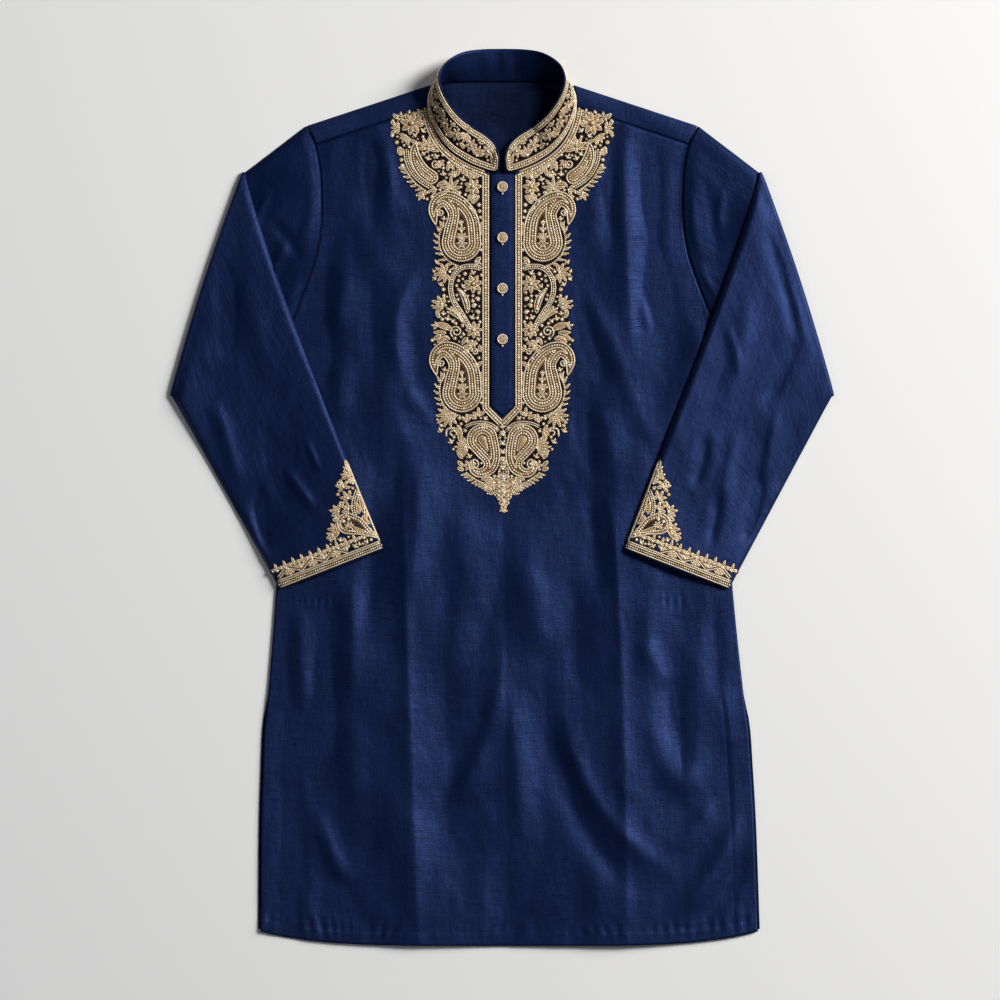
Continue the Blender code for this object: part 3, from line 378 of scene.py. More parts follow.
# Columns: x, y, radius
BEADS = (
    (43.5, 262.1, 2.2), (51.1, 254.1, 2), (51.7, 232.2, 1.9), (68.6, 243.9, 2.3), (68.1, 236.6, 2),
    (27.1, 342.8, 2.3), (26.6, 335.4, 2.2), (25.4, 328.2, 1.9), (50, 356.8, 2.3), (117.8, 395.5, 2.2),
    (116.6, 388.4, 2.6), (123.1, 415.9, 2.3), (128.5, 424.1, 2.2), (127.8, 441.1, 2), (50, 93.6, 2.3),
    (24.6, 290.2, 1.9), (24.2, 297.2, 1.6), (55.2, 186.6, 2), (6.7, 82.5, 1.8), (20.7, 12.3, 2.1),
    (11.3, 18.1, 2.3), (30.1, 156.2, 2.2), (35.3, 163.2, 2), (27.1, 163.8, 1.9), (25.4, 125.2, 1.8),
    (24.8, 118.2, 1.6), (55.8, 376.7, 2.1), (33.6, 376.2, 2.3), (43.5, 347.5, 2), (37.7, 340.5, 1.9),
    (32.4, 335.8, 1.9), (41.2, 183.7, 1.9), (26, 205.9, 1.9), (40, 236.3, 1.6), (64.6, 235.2, 1.5),
    (82.1, 184.3, 2), (82.1, 352.2, 2.1), (24.2, 111.1, 2), (69.3, 401.3, 1.8), (92.7, 422.4, 1.8),
    (24.2, 260.9, 1.8), (43.5, 242.2, 1.6),
)
MAIN_VINE = (
    (24.8, 268.5), (36.5, 270.9), (48.2, 268.7), (57, 259.7), (60.3, 245.7), (57, 230.5), (49.4, 218.8),
    (42.9, 208.3), (37.7, 197.7),
)
# Stems, and their widths
VINES = (
    (((112, 407.2), (111.1, 395.5), (105.5, 382.6), (96.2, 372.1), (83.9, 363.9)), 6.1),
    (MAIN_VINE, 5.6),
    (((4.3, 78.4), (11.9, 85.4), (22.5, 88.3), (34.2, 87.2), (43.5, 83.1)), 3.3),
    (((47, 205.9), (54.1, 216.4), (65.8, 222.3)), 2.8),
    (((37.7, 340.5), (30.7, 331.1), (26.6, 318.2)), 2.1),
    (((55.2, 81.9), (64.6, 80.1), (65.8, 71.4)), 2.6),
)
UPPER_FRINGE = (
    (68.7, 318.2), (73.1, 308.9), (73.9, 299.5), (72, 290.2), (66.9, 281.4), (58.7, 274.4), (49.4, 270.3),
)
LOWER_FRINGE = (
    (67.9, 142.2), (72.3, 132.8), (73.1, 123.4), (71.1, 114.1), (66.1, 105.3), (58.1, 99.4), (50, 95.9),
)
# Stems, and how many leaves lean off each
FRINGES = (
    (UPPER_FRINGE, 9),
    (LOWER_FRINGE, 9),
    (((113.7, 386.1), (108.5, 376.7), (100.9, 367.4), (91.5, 360.4), (85.6, 356.8)), 8),
    (((42.4, 29.2), (34.2, 22.8), (24.8, 17.5), (16.6, 11.7), (9.6, 3.5)), 9),
)

# The stitched ground's outline, and how large the knots and sprigs are that fill its bare places
CHEST_OUTLINE = (
    (23.6, 114.7), (23.6, 377.9), (40, 381.4), (57.6, 391.9), (72.8, 404.8), (83.3, 421.2), (89.2, 437.6),
    (92.7, 451.6), (104.4, 452.8), (116.1, 450.4), (127.8, 445.8), (128.9, 423.5), (121.9, 413),
    (116.1, 407.2), (116.1, 399), (112.6, 387.3), (111.4, 376.7), (106.7, 368.5), (100.9, 360.4),
    (96.2, 349.8), (86.8, 347.5), (84.5, 340.5), (86.8, 331.1), (77.5, 315.9), (71.6, 314.7), (76.3, 304.2),
    (76.9, 290.2), (75.1, 280.8), (79.8, 269.1), (81, 259.7), (75.1, 250.4), (69.3, 245.7), (68.1, 235.2),
    (81, 229.3), (82.1, 223.5), (77.5, 214.1), (75.1, 205.9), (79.8, 198.9), (81, 187.2), (78.6, 182.5),
    (83.3, 170.8), (83.9, 154.4), (75.1, 140.4), (70.4, 136.9), (76.9, 126.4), (76.9, 112.3), (75.1, 100.6),
    (76.3, 91.3), (71.6, 77.2), (63.4, 77.2), (61.1, 67.9), (58.7, 57.3), (51.7, 49.1), (51.7, 38.6),
    (47, 31.6), (34.2, 23.4), (24.8, 17.5), (16.6, 10.5), (8.4, 1.2), (3.7, -9.4), (0.2, -15.2),
    (-0.4, 87.8), (7.3, 93.6), (21.3, 106.5),
)
FILL_PITCH = 1.5
FILL_LEAST = 1.7
FILL_MOST = 3.2

# Along the middle line: palmettes, a pad with a ring round it, a bead, pairs of leaves and one at the end
CENTRE_X = 0.8
CENTRE_PALMETTES = (
    (CENTRE_X, 22.0, 90, 10.5, 7, 130),
    (CENTRE_X, 74.0, 90, 6.0, 3, 60),
    (CENTRE_X, 6.0, 90, 7.0, 3, 80),
)
CENTRE_PAD = (CENTRE_X, 30.0, 6.0)
CENTRE_BEAD = (CENTRE_X, 40.4, 3.6)
CENTRE_LEAVES = (
    (1.6, 15, 16, 22, 5.2, 0.08), (1.6, 8.5, 14.5, 15, 5, 0.08), (1.6, 2, 12, 8, 4.8, 0.08),
    (1.4, -4, 9.6, 1.5, 4.4, 0.08), (1.2, -9, 6.8, -5, 3.8, 0.08),
)
END_LEAF = (CENTRE_X, -6.0, CENTRE_X, -17.5, 4.6, 0.0)

# Cuff embroidery, in millimetres along the cuff from its inner corner and up along the sleeve's crease
CUFF_LENGTH = 131.4
# The work leans this much away from the crease, and stops this far inside it
CUFF_LEAN = 0.018
CUFF_EDGE = 0.3
# The border's middle line, with its cords and its row of knots above and below it
CUFF_BORDER = ((1.0, 6.4), (130.0, 5.0))
CUFF_CORDS = (3.9, 1.6, -3.9)
CUFF_ROW = -1.2
CUFF_PITCH = 10.9
CUFF_ZIGZAG_PITCH = 29.0
CUFF_ZIGZAG_ROWS = (11.8, 20.4)
CUFF_PAISLEY = (
    (28.2, 42.6, 12.8), (19.2, 36, 11), (12.6, 28.4, 7), (6.4, 20.6, 3.4), (2, 14.6, 0.8),
)
CUFF_VINES = (
    (((1.6, 74.5), (7.9, 67.8), (12.5, 60.9), (14.9, 54.1), (15.2, 49.0)), 6.4),
    (((1.2, 10.5), (1.5, 60.0), (1.0, 109.0)), 2.4),
)
CUFF_PALMETTES = (
    (17, 70, 80, 10, 5, 220), (21.5, 58, 50, 9.5, 5, 220), (17, 84, 90, 10, 5, 230),
    (7, 93, 80, 10, 5, 150), (4.6, 84, 90, 10, 5, 100), (3.6, 100, 90, 9.5, 3, 70),
    (33, 59, 30, 11, 5, 170), (43, 41, 20, 10.5, 5, 190), (50, 36, -30, 9, 4, 140),
    (27.5, 37.5, 90, 8, 5, 150),
)
CUFF_SCROLLS = (
    (19.0, 89.0, 4.4, 200, 1.2, 1),
    (27.0, 67.0, 4.0, 0, 1.1, -1),
    (40.5, 52.5, 3.6, 100, 1.1, 1),
)
CUFF_LEAVES = (
    (6.2, 47.5, 3.6, 71, 4.4, 0.05), (11.4, 48.5, 9.6, 62.5, 4.2, 0.05), (5.6, 41, 3, 49, 3.4, 0),
    (25.5, 37.5, 11.5, 26.5, 5.4, 0.1), (8.5, 45, 3.4, 33, 4.6, 0.1), (3.6, 103, 2.4, 112.5, 3.4, 0),
    (38.5, 46, 56.5, 32, 5.4, -0.15),
)
CUFF_BEADS = (
    (31.5, 46.5, 2.2), (25, 47, 2.2), (26, 78, 2), (12, 76, 2), (11, 88, 1.8),
)
CUFF_OUTLINE = (
    (0.8, 12), (0.8, 108), (7, 100), (20, 94), (25, 84), (24, 76), (30, 68), (40, 66), (42, 58), (40, 51),
    (48, 46), (56, 36), (57, 26), (128, 24), (129, 11),
)

# The band's front ends are rounded: its height this far along it
# Columns: along, height
BAND_TOP_TABLE = (
    (0, 17.6), (2.6, 22.4), (6, 26.4), (12.3, 30.4), (20.5, 33.2), (29.7, 35), (45.6, 36.8), (58.8, 38),
    (75, BAND_HEIGHT), (300, BAND_HEIGHT),
)
# Crumples across the band behind the neck
BAND_WAVE = 1.1

# Collar embroidery, in millimetres along the band from its front end and up from its foot
COLLAR_STRIP = 6.8
COLLAR_SPRIG_PITCH = 23.0

# Running stitches, in metres, and their height over the cloth in millimetres
STITCH = {"Pitch": 3.2 * MM, "Length": 2.3 * MM, "Thickness": 0.24 * MM, "Rise": 0.12 * MM}
STITCH_LIFT = 0.15


# ---------------------------------------------------------------- small tools


def ease(value, low, high):
    """0 below low, 1 above high, and a smooth step between."""
    t = np.clip((np.asarray(value, float) - low) / (high - low), 0.0, 1.0)
    return t * t * (3 - 2 * t)


def blend(a, b, share):
    """The place this share of the way from one to the other."""
    return (1 - share) * np.asarray(a, float) + share * np.asarray(b, float)


def unit(vectors):
    """The same directions, each of length 1."""
    return vectors / np.linalg.norm(vectors, axis=-1, keepdims=True)


def unit_normals(grid):
    """Normals of a surface given as a grid of points."""
    return unit(np.cross(np.gradient(grid, axis=0), np.gradient(grid, axis=1)))


def run_along(path):
    """The length along a path at each of its points."""
    return np.concatenate([[0.0], np.cumsum(np.linalg.norm(np.diff(path, axis=0), axis=1))])


def read_at(table, rows, columns):
    """Reads a table of numbers or points at places between its rows and columns."""
    i = np.minimum(rows.astype(int), table.shape[0] - 2)
    j = np.minimum(columns.astype(int), table.shape[1] - 2)
    more = (..., *[None] * (table.ndim - 2))
    fi, fj = (rows - i)[more], (columns - j)[more]
    low = table[i, j] * (1 - fj) + table[i, j + 1] * fj
    high = table[i + 1, j] * (1 - fj) + table[i + 1, j + 1] * fj
    return low * (1 - fi) + high * fi


def left_of(path):
    """Unit steps to the left of a flat path, at each of its points."""
    ahead = unit(np.gradient(path, axis=0))
    return np.column_stack([-ahead[:, 1], ahead[:, 0]])


def smooth_curve(points, count):
    """Points along a Catmull-Rom curve through a short list, evenly spaced in its parameter."""
    given = np.array(points, float)
    padded = np.vstack([2 * given[0] - given[1], given, 2 * given[-1] - given[-2]])
    t = np.linspace(0, len(given) - 1, count)
    i = np.minimum(t.astype(int), len(given) - 2)
    f = (t - i)[:, None]
    a, b, c, d = (padded[i + k] for k in range(4))
    return 0.5 * (2 * b + (c - a) * f + (2 * a - 5 * b + 4 * c - d) * f**2 + (3 * b - a - 3 * c + d) * f**3)


def evenly(path, step, closed=False):
    """The path resampled at about this spacing."""
    path = np.asarray(path, float)
    if closed:
        path = np.vstack([path, path[:1]])
    along = run_along(path)
    count = max(int(round(along[-1] / step)), 2)
    at = np.linspace(0, along[-1], count + 1)
    made = np.column_stack([np.interp(at, along, path[:, k]) for k in range(path.shape[1])])
    return made[:-1] if closed else made


def lattice_noise(x, y, cell_x, cell_y, seed):
    """Smooth noise from -1 to 1, on cells of the given size in millimetres."""
    values = np.random.default_rng(seed).uniform(-1, 1, (64, 64))
    gx, gy = np.asarray(x) / cell_x, np.asarray(y) / cell_y
    ix, iy = np.floor(gx).astype(int), np.floor(gy).astype(int)
    fx, fy = gx - ix, gy - iy
    fx, fy = fx * fx * (3 - 2 * fx), fy * fy * (3 - 2 * fy)
    low = values[ix % 64, iy % 64] * (1 - fx) + values[(ix + 1) % 64, iy % 64] * fx
    high = values[ix % 64, (iy + 1) % 64] * (1 - fx) + values[(ix + 1) % 64, (iy + 1) % 64] * fx
    return low * (1 - fy) + high * fy


def drift(y):
    """How far the garment leans to +X below the sleeves' elbows."""
    return DRIFT_PER_MM * np.maximum(DRIFT_FROM_Y - np.asarray(y, float), 0.0)


def inside_outline(spots, outline):
    """Which spots lie inside a closed outline."""
    x, y = spots[:, :1], spots[:, 1:]
    x0, y0 = outline[:, 0], outline[:, 1]
    x1, y1 = np.roll(x0, -1), np.roll(y0, -1)
    crosses = (y0 > y) != (y1 > y)
    reach = x0 + (x1 - x0) * (y - y0) / np.where(y1 == y0, 1.0, y1 - y0)
    return np.sum(crosses & (x < reach), axis=1) % 2 == 1


def grid_cells(rows, columns):
    """The quads of a grid of points that is numbered row by row."""
    r, c = np.meshgrid(np.arange(rows - 1), np.arange(columns - 1), indexing="ij")
    first = (r * columns + c).ravel()
    return np.column_stack([first, first + 1, first + columns + 1, first + columns])


def ring_pairs(size):
    """The numbers round a ring, and the next one to each."""
    k = np.arange(size)
    return k, (k + 1) % size


def ring_cells(rings, size):
    """The quads of a tube of points that is numbered ring by ring."""
    k, n = ring_pairs(size)
    start = (np.arange(rings - 1) * size)[:, None]
    return np.stack([start + k, start + n, start + size + n, start + size + k], axis=2).reshape(-1, 4)


def surface_tree(points_mm, cells):
    """A surface to drop things on."""
    return BVHTree.FromPolygons([Vector(p) for p in points_mm.tolist()], cells.tolist())


# ---------------------------------------------------------------- materials


def linear(hex_colour):
    """Scene-linear RGBA of an sRGB colour such as "1f3470"."""
    channels = [int(hex_colour[k : k + 2], 16) / 255 for k in (0, 2, 4)]
    return (*((c / 12.92 if c <= 0.04045 else ((c + 0.055) / 1.055) ** 2.4) for c in channels), 1.0)


def node(tree, kind, inputs=(), output=0, **settings):
    """Adds one node with its settings, and returns one of its outputs. Its inputs, by name or in their order,
    are given a value or joined to another node's output."""
    made = tree.nodes.new(kind)
    for name, value in settings.items():
        setattr(made, name, value)
    for name, value in inputs.items() if isinstance(inputs, dict) else enumerate(inputs):
        if isinstance(value, bpy.types.NodeSocket):
            tree.links.new(value, made.inputs[name])
        elif value is not None:
            made.inputs[name].default_value = value
    return made.outputs[output] if made.outputs else None


def new_material(name):
    """A material with its tree and the inputs of its shader."""
    material = bpy.data.materials.new(name)
    material.use_nodes = True
    tree = material.node_tree
    return material, tree, tree.nodes["Principled BSDF"].inputs


def cells_of(tree, place, size, detail=2.0, roughness=0.5):
    """Noise whose cells have this width and height in millimetres of cloth."""
    scaled = node(tree, "ShaderNodeMapping", {"Vector": place, "Scale": (1 / size[0], 1 / size[1], 1.0)})
    noise = {"Vector": scaled, "Scale": 1.0, "Detail": detail, "Roughness": roughness}
    return node(tree, "ShaderNodeTexNoise", noise)


def weighted(tree, parts):
    """The sum of sockets, each times its weight."""
    total = 0.0
    for value, weight in parts:
        total = node(tree, "ShaderNodeMath", (value, weight, total), operation="MULTIPLY_ADD")
    return total


# Every range runs from its low value to its high one with soft ends. A mixed colour is socket 2 of its node.
RANGE, SOFT = "ShaderNodeMapRange", {"interpolation_type": "SMOOTHSTEP"}
MIX, COLOURS = "ShaderNodeMix", {"data_type": "RGBA", "output": 2}
MATH, TIMES = "ShaderNodeMath", {"operation": "MULTIPLY"}

# The cloth's attribute read in the silk takes away a share of its sheen: painted shade where the cloth should
# look shaded, and some random dulling, up to the cap below. From GROUND_FROM to STITCHED it turns the cloth
# to the dark ground that the gold is stitched on, dark thread with painted shade between the motifs.
MOST_SHADE_AND_DULLING = 0.75
GROUND_FROM = 0.8
STITCHED = 0.9
# The dark stitched ground: dark thread, darkened further as painted shade between the motifs
GROUND_AND_SHADE = "1b1211"


def silk_material(name, body, bright, slub, roughness, sheen, glint=(0.75, 1.25)):
    """Handwoven slub silk, which gives an uneven sheen broken by dark thick wefts that run across the cloth.

    The slubs are 24 and 8 mm long and about 1 mm thick. The real threads are under 0.2 mm, too fine to show,
    so the weave is drawn with threads of 0.4 to 1.3 mm. Small crumples are 11 to 32 mm across.
    """
    material, tree, shader = new_material(name)
    place = node(tree, "ShaderNodeUVMap", uv_map="thread_mm")
    long_slubs = node(tree, RANGE, (cells_of(tree, place, (24.0, 1.3), 3.0), 0.58, 0.69, 0.0, 1.0), **SOFT)
    short_slubs = node(tree, RANGE, (cells_of(tree, place, (8.0, 1.0)), 0.63, 0.73, 0.0, 1.0), **SOFT)
    gathered = node(tree, RANGE, (cells_of(tree, place, (60.0, 42.0)), 0.42, 0.62, 0.25, 1.0), **SOFT)
    slubs = node(tree, MATH, (long_slubs, short_slubs), operation="MAXIMUM")
    slubs = node(tree, MATH, (slubs, gathered), **TIMES)
    wefts = cells_of(tree, place, (24.0, 1.1), 4.0, 0.7)
    warps = cells_of(tree, place, (0.9, 14.0), 3.0, 0.7)
    patches = cells_of(tree, place, (120.0, 90.0), 3.0, 0.6)
    grain = cells_of(tree, place, (1.3, 1.1))
    tone = weighted(tree, ((wefts, 0.35), (warps, 0.2), (patches, 0.25), (grain, 0.2)))
    brightness = node(tree, RANGE, (tone, 0.38, 0.62, 0.0, 1.0), **SOFT)
    colour = node(tree, MIX, {"Factor": brightness, 6: linear(body), 7: linear(bright)}, **COLOURS)
    darkened = node(tree, MATH, (slubs, 0.75), **TIMES)
    colour = node(tree, MIX, {"Factor": darkened, 6: colour, 7: linear(slub)}, **COLOURS)
    # Painted shade: the attribute below takes sheen away, and near its top turns the colour to the dark
    # ground
    painted_shade_and_dulling = node(tree, "ShaderNodeAttribute", output="Fac", attribute_name="painted_shade_and_dulling")
    ground = node(tree, RANGE, (painted_shade_and_dulling, GROUND_FROM, STITCHED, 0.0, 1.0), **SOFT)
    colour = node(tree, MIX, {"Factor": ground, 6: colour, 7: linear(GROUND_AND_SHADE)}, **COLOURS)
    tree.links.new(colour, shader["Base Color"])
    polish = node(tree, RANGE, (wefts, 0.3, 0.7, roughness + 0.04, roughness - 0.04), **SOFT)
    tree.links.new(polish, shader["Roughness"])
    shine = node(tree, RANGE, (tone, 0.36, 0.64, *glint), **SOFT)
    shine = node(tree, MATH, (shine, node(tree, MATH, (1.0, painted_shade_and_dulling), operation="SUBTRACT")), **TIMES)
    shine = node(tree, MATH, (shine, node(tree, RANGE, (slubs, 0.0, 0.9, 1.0, 0.5), **SOFT)), **TIMES)
    tree.links.new(shine, shader["Specular IOR Level"])
    shader["Specular Tint"].default_value = linear("7d9cff")
    shader["Sheen Weight"].default_value = sheen
    shader["Sheen Roughness"].default_value = 0.4
    shader["Sheen Tint"].default_value = linear("6f86d8")
    threads = cells_of(tree, place, (2.5, 0.4))
    weave = weighted(tree, ((slubs, 0.5), (threads, 0.9), (wefts, 0.9), (warps, 0.5), (grain, 0.5)))
    upright = cells_of(tree, place, (11.0, 32.0), 3.0, 0.6)
    level = cells_of(tree, place, (32.0, 15.0), 3.0, 0.6)
    crumple = weighted(tree, ((upright, 0.55), (level, 0.45)))
    soft = node(tree, "ShaderNodeBump", {"Height": crumple, "Strength": 0.3, "Distance": 0.004})
    fine = {"Height": weave, "Strength": 0.5, "Distance": 0.0003, "Normal": soft}
    tree.links.new(node(tree, "ShaderNodeBump", fine), shader["Normal"])
    return material


def thread_material(name, deep, light, roughness, twist):
    """Embroidery thread, gilt strip wound round a cotton core, which gives a soft broken glitter.

    Its turns slant across the thread, a couple of millimetres apart, because the real ones of some 0.3 mm
    are too fine to show. Spots of 1.6 mm make its brightness uneven.
    """
    material, tree, shader = new_material(name)
    place = node(tree, "ShaderNodeUVMap", uv_map="thread_mm")
    along = node(tree, "ShaderNodeSeparateXYZ", (place,))
    diagonal = node(tree, MATH, (along, along.node.outputs["Y"]), operation="ADD")
    turns = node(tree, MATH, (node(tree, MATH, (diagonal, twist), **TIMES), 0.0), operation="SINE")
    spots = cells_of(tree, place, (1.6, 1.6))
    tone = node(tree, MATH, (node(tree, MATH, (turns, 0.34), **TIMES), spots), operation="ADD")
    brightness = node(tree, RANGE, (tone, 0.22, 0.72, 0.0, 1.0), **SOFT)
    colour = node(tree, MIX, {"Factor": brightness, 6: linear(deep), 7: linear(light)}, **COLOURS)
    tree.links.new(colour, shader["Base Color"])
    shader["Metallic"].default_value = 0.35
    shader["Roughness"].default_value = roughness
    bump = node(tree, "ShaderNodeBump", {"Height": turns, "Strength": 0.4, "Distance": 0.0002})
    tree.links.new(bump, shader["Normal"])
    return material


def metal_material(name, deep, light):
    """Cast brass with an antique gold finish, worn bright, with small brown specks of about 1 mm."""
    material, tree, shader = new_material(name)
    place = node(tree, "ShaderNodeTexCoord", output="Object")
    grime = node(tree, "ShaderNodeTexNoise", {"Vector": place, "Scale": 900.0, "Detail": 3.0})
    brightness = node(tree, RANGE, (grime, 0.42, 0.62, 0.0, 1.0), **SOFT)
    colour = node(tree, MIX, {"Factor": brightness, 6: linear(deep), 7: linear(light)}, **COLOURS)
    tree.links.new(colour, shader["Base Color"])
    tree.links.new(node(tree, RANGE, (grime, 0.3, 0.7, 0.42, 0.2), **SOFT), shader["Roughness"])
    shader["Metallic"].default_value = 0.15
    return material


def floor_material():
    """Matt painted board, pale and plain."""
    material, tree, shader = new_material("pale_floor")
    shader["Base Color"].default_value = linear("ebebea")
    shader["Roughness"].default_value = 0.55
    return material


SILK = silk_material("navy_slub_silk", "040d25", "0a1839", "030814", 0.50, 0.02)
# The silk's back face, duller, and darker as painted shade inside the neck
SILK_INSIDE_SHADED = silk_material("navy_slub_silk_inside_shaded", "040a1b", "081227", "030712", 0.60, 0.01, (0.45, 0.75))
GOLD_CORD = thread_material("gold_cord", "b89767", "fff3da", 0.38, 2.6)
GOLD_BEAD = thread_material("gold_knots", "dbbf90", "fff3da", 0.36, 5.0)
GOLD_CORE = thread_material("gold_flat_thread", "785a36", "c8a06c", 0.45, 2.8)
GOLD_SHADE = thread_material("shaded_gold_thread", "4a331d", "8a6740", 0.55, 2.8)
# Dark ground thread, laid wider than the motifs so that it paints the shade round them
GOLD_PAD_AND_SHADE = thread_material("dark_ground_thread_and_shade", "1a120c", "38281b", 0.8, 4.4)
METAL = metal_material("antique_gold", "e2c593", "fffaf0")
METAL_HOLLOW = metal_material("antique_gold_hollow", "6e4c22", "bb9152")
GOLD_FINISH = [GOLD_CORD, GOLD_BEAD, GOLD_CORE, GOLD_SHADE, GOLD_PAD_AND_SHADE]


# ---------------------------------------------------------------- making objects


def carry(mesh, label, values):
    """Gives each point of a mesh a number under this label."""
    layer = mesh.attributes.new(label, "FLOAT", "POINT")
    layer.data.foreach_set("value", np.ravel(values).astype(np.float32))


def make_object(name, points_mm, faces, uv=None, slots=None, painted_shade_and_dulling=None, edges=()):
    """A mesh object at the origin. Its points and its UV map of cloth or thread are given in millimetres."""
    mesh = bpy.data.meshes.new(name)
    mesh.from_pydata((np.asarray(points_mm) * MM).tolist(), edges, faces)
    mesh.polygons.foreach_set("use_smooth", [True] * len(mesh.polygons))
    if slots is not None:
        mesh.polygons.foreach_set("material_index", slots)
    if uv is not None:
        loops = np.empty(len(mesh.loops), np.int32)
        mesh.loops.foreach_get("vertex_index", loops)
        layer = mesh.uv_layers.new(name="thread_mm")
        layer.data.foreach_set("uv", np.asarray(uv, np.float32)[loops].ravel())
    if painted_shade_and_dulling is not None:
        carry(mesh, "painted_shade_and_dulling", painted_shade_and_dulling)
    mesh.update()
    made = bpy.data.objects.new(name, mesh)
    bpy.context.scene.collection.objects.link(made)
    return made


def finish_piece(made, finishes, slot, *nodes):
    """Gives a piece its materials, and lets it stand for its CAD nodes. The slot argument is not used."""
    for finish in finishes:
        if finish.name not in made.data.materials:
            made.data.materials.append(finish)
    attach(made, "root")
    if nodes:
        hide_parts(*nodes)
    return made


def new_tree(name, sizes):
    """An empty geometry tree with a named input for each size. Returns it with its inputs by name."""
    tree = bpy.data.node_groups.new(name, "GeometryNodeTree")
    for way in ("INPUT", "OUTPUT"):
        tree.interface.new_socket("Geometry", in_out=way, socket_type="NodeSocketGeometry")
    for label in sizes:
        kind = "NodeSocketInt" if isinstance(sizes[label], int) else "NodeSocketFloat"
        tree.interface.new_socket(label, in_out="INPUT", socket_type=kind)
    return tree, tree.nodes.new("NodeGroupInput").outputs


def grow(made, tree, sizes):
    """Runs a geometry tree on an object with these sizes, and keeps the outcome as its plain mesh."""
    modifier = made.modifiers.new(tree.name, "NODES")
    modifier.node_group = tree
    for socket in tree.interface.items_tree:
        if socket.name in sizes:
            modifier[socket.identifier] = sizes[socket.name]
    depsgraph = bpy.context.evaluated_depsgraph_get()
    evaluated = made.evaluated_get(depsgraph)
    plain = bpy.data.meshes.new_from_object(evaluated, preserve_all_data_layers=True, depsgraph=depsgraph)
    made.modifiers.clear()
    made.data = plain


def wall(name, upper, lower, cells, uv, painted_shade_and_dulling=None):
    """A closed wall between two copies of one sheet. Seen from above, its cells run counter-clockwise."""
    used = np.unique(cells)
    order = np.full(len(upper), -1)
    order[used] = np.arange(len(used))
    cells = order[cells]
    upper, lower, uv = upper[used], lower[used], uv[used]
    count = len(used)
    a = cells.ravel()
    b = np.roll(cells, -1, axis=1).ravel()
    free = ~np.isin(a * count + b, b * count + a)
    rim = np.column_stack([a[free] + count, b[free] + count, b[free], a[free]])
    faces = cells.tolist() + (cells[:, ::-1] + count).tolist() + rim.tolist()
    if painted_shade_and_dulling is not None:
        painted_shade_and_dulling = np.broadcast_to(painted_shade_and_dulling, (2, len(order)))[:, used]
    return make_object(name, np.vstack([upper, lower]), faces, np.vstack([uv, uv]), painted_shade_and_dulling=painted_shade_and_dulling)


# ---------------------------------------------------------------- the lie of the cloth

SIDE_CURVE = smooth_curve(SIDE_TABLE, 281)


def side_x(y):
    """Half width of the body, at the side seam or the armhole."""
    return np.interp(y, SIDE_CURVE[:, 0], SIDE_CURVE[:, 1])


def shade_beside_sleeve(x, y):
    """From 0 to 1, how much shade is painted beside the left sleeve's inner edge, where the cloth under it
    would dip.
    """
    away = CUFF_INNER[0] + SLEEVE_EDGE_SLOPE * (y - CUFF_INNER[1]) - x
    return ease(34.0 - away, 0.0, 30.0) * ease(y, 60.0, 230.0) * ease(375.0 - y, 0.0, 70.0)


def ridge(x, y, fold):
    """Height of one fold: a soft or pressed ridge along a bent line, fading out at its ends."""
    x0, y0, x1, y1, x2, y2, half_width, height, crease = fold
    half_width = FOLD_SPREAD * half_width
    t = np.linspace(0, 1, 11)[:, None]
    middle = 2 * np.array((x1, y1)) - 0.5 * np.array((x0 + x2, y0 + y2))
    line = (1 - t) ** 2 * np.array((x0, y0)) + 2 * t * (1 - t) * middle + t**2 * np.array((x2, y2))
    reach = 2.4 * half_width
    made = np.zeros(np.shape(x))
    near = (x > line[:, 0].min() - reach) & (x < line[:, 0].max() + reach)
    near &= (y > line[:, 1].min() - reach) & (y < line[:, 1].max() + reach)
    px, py = x[near], y[near]
    best = np.full(px.shape, 1e9)
    at = np.zeros(px.shape)
    for k in range(len(line) - 1):
        step = line[k + 1] - line[k]
        share = ((px - line[k, 0]) * step[0] + (py - line[k, 1]) * step[1]) / step.dot(step)
        low = -1e9 if k == 0 else 0.0
        high = 1e9 if k == len(line) - 2 else 1.0
        share = np.clip(share, low, high)
        off = np.hypot(px - line[k, 0] - share * step[0], py - line[k, 1] - share * step[1])
        closer = off < best
        best = np.where(closer, off, best)
        at = np.where(closer, (k + share) / (len(line) - 1), at)
    fade = ease(at, -0.12, 0.3) * ease(1 - at, -0.12, 0.3)
    soft = np.exp(-((best / half_width) ** 2) * 1.6)
    sharp = np.exp(-np.sqrt(best**2 + 0.8) / (0.55 * half_width))
    made[near] = height * fade * ((1 - crease) * soft + crease * sharp)
    return made


def puckers(x, y, centre_y, reach, pitch, height, seed):
    """Small upright puckers along a line of stitching at centre_y."""
    wander = 5.0 * lattice_noise(x, y, 2.7 * pitch, 60.0, seed)
    strength = 0.6 + 0.8 * lattice_noise(x, y, 1.9 * pitch, 60.0, seed + 1)
    wave = np.sin(2 * math.pi * x / pitch + wander) * strength
    reach = reach * (0.8 + 0.5 * lattice_noise(x, y, 1.4 * pitch, 90.0, seed + 2))
    return height * wave * np.exp(-(((y - centre_y) / reach) ** 2))


def swells(x, y, rows):
    """Slow uneven rises and falls of the cloth, in millimetres."""
    parts = (h * lattice_noise(x + slant * y, y - slant * x, a, b, k) for a, b, h, slant, k in rows)
    return sum(parts)


def stitch_groove(offset, width=1.1, depth=0.45):
    """The dip along a line of stitching, this far from it."""
    return -depth * np.exp(-((offset / width) ** 2))


def hem_y(x):
    """Y of the hem, which curves up towards the slits."""
    return HEM_CENTRE_Y + (HEM_CORNER_Y - HEM_CENTRE_Y) * (np.abs(x) / SIDE_TABLE[0][1]) ** HEM_CURVE_POWER


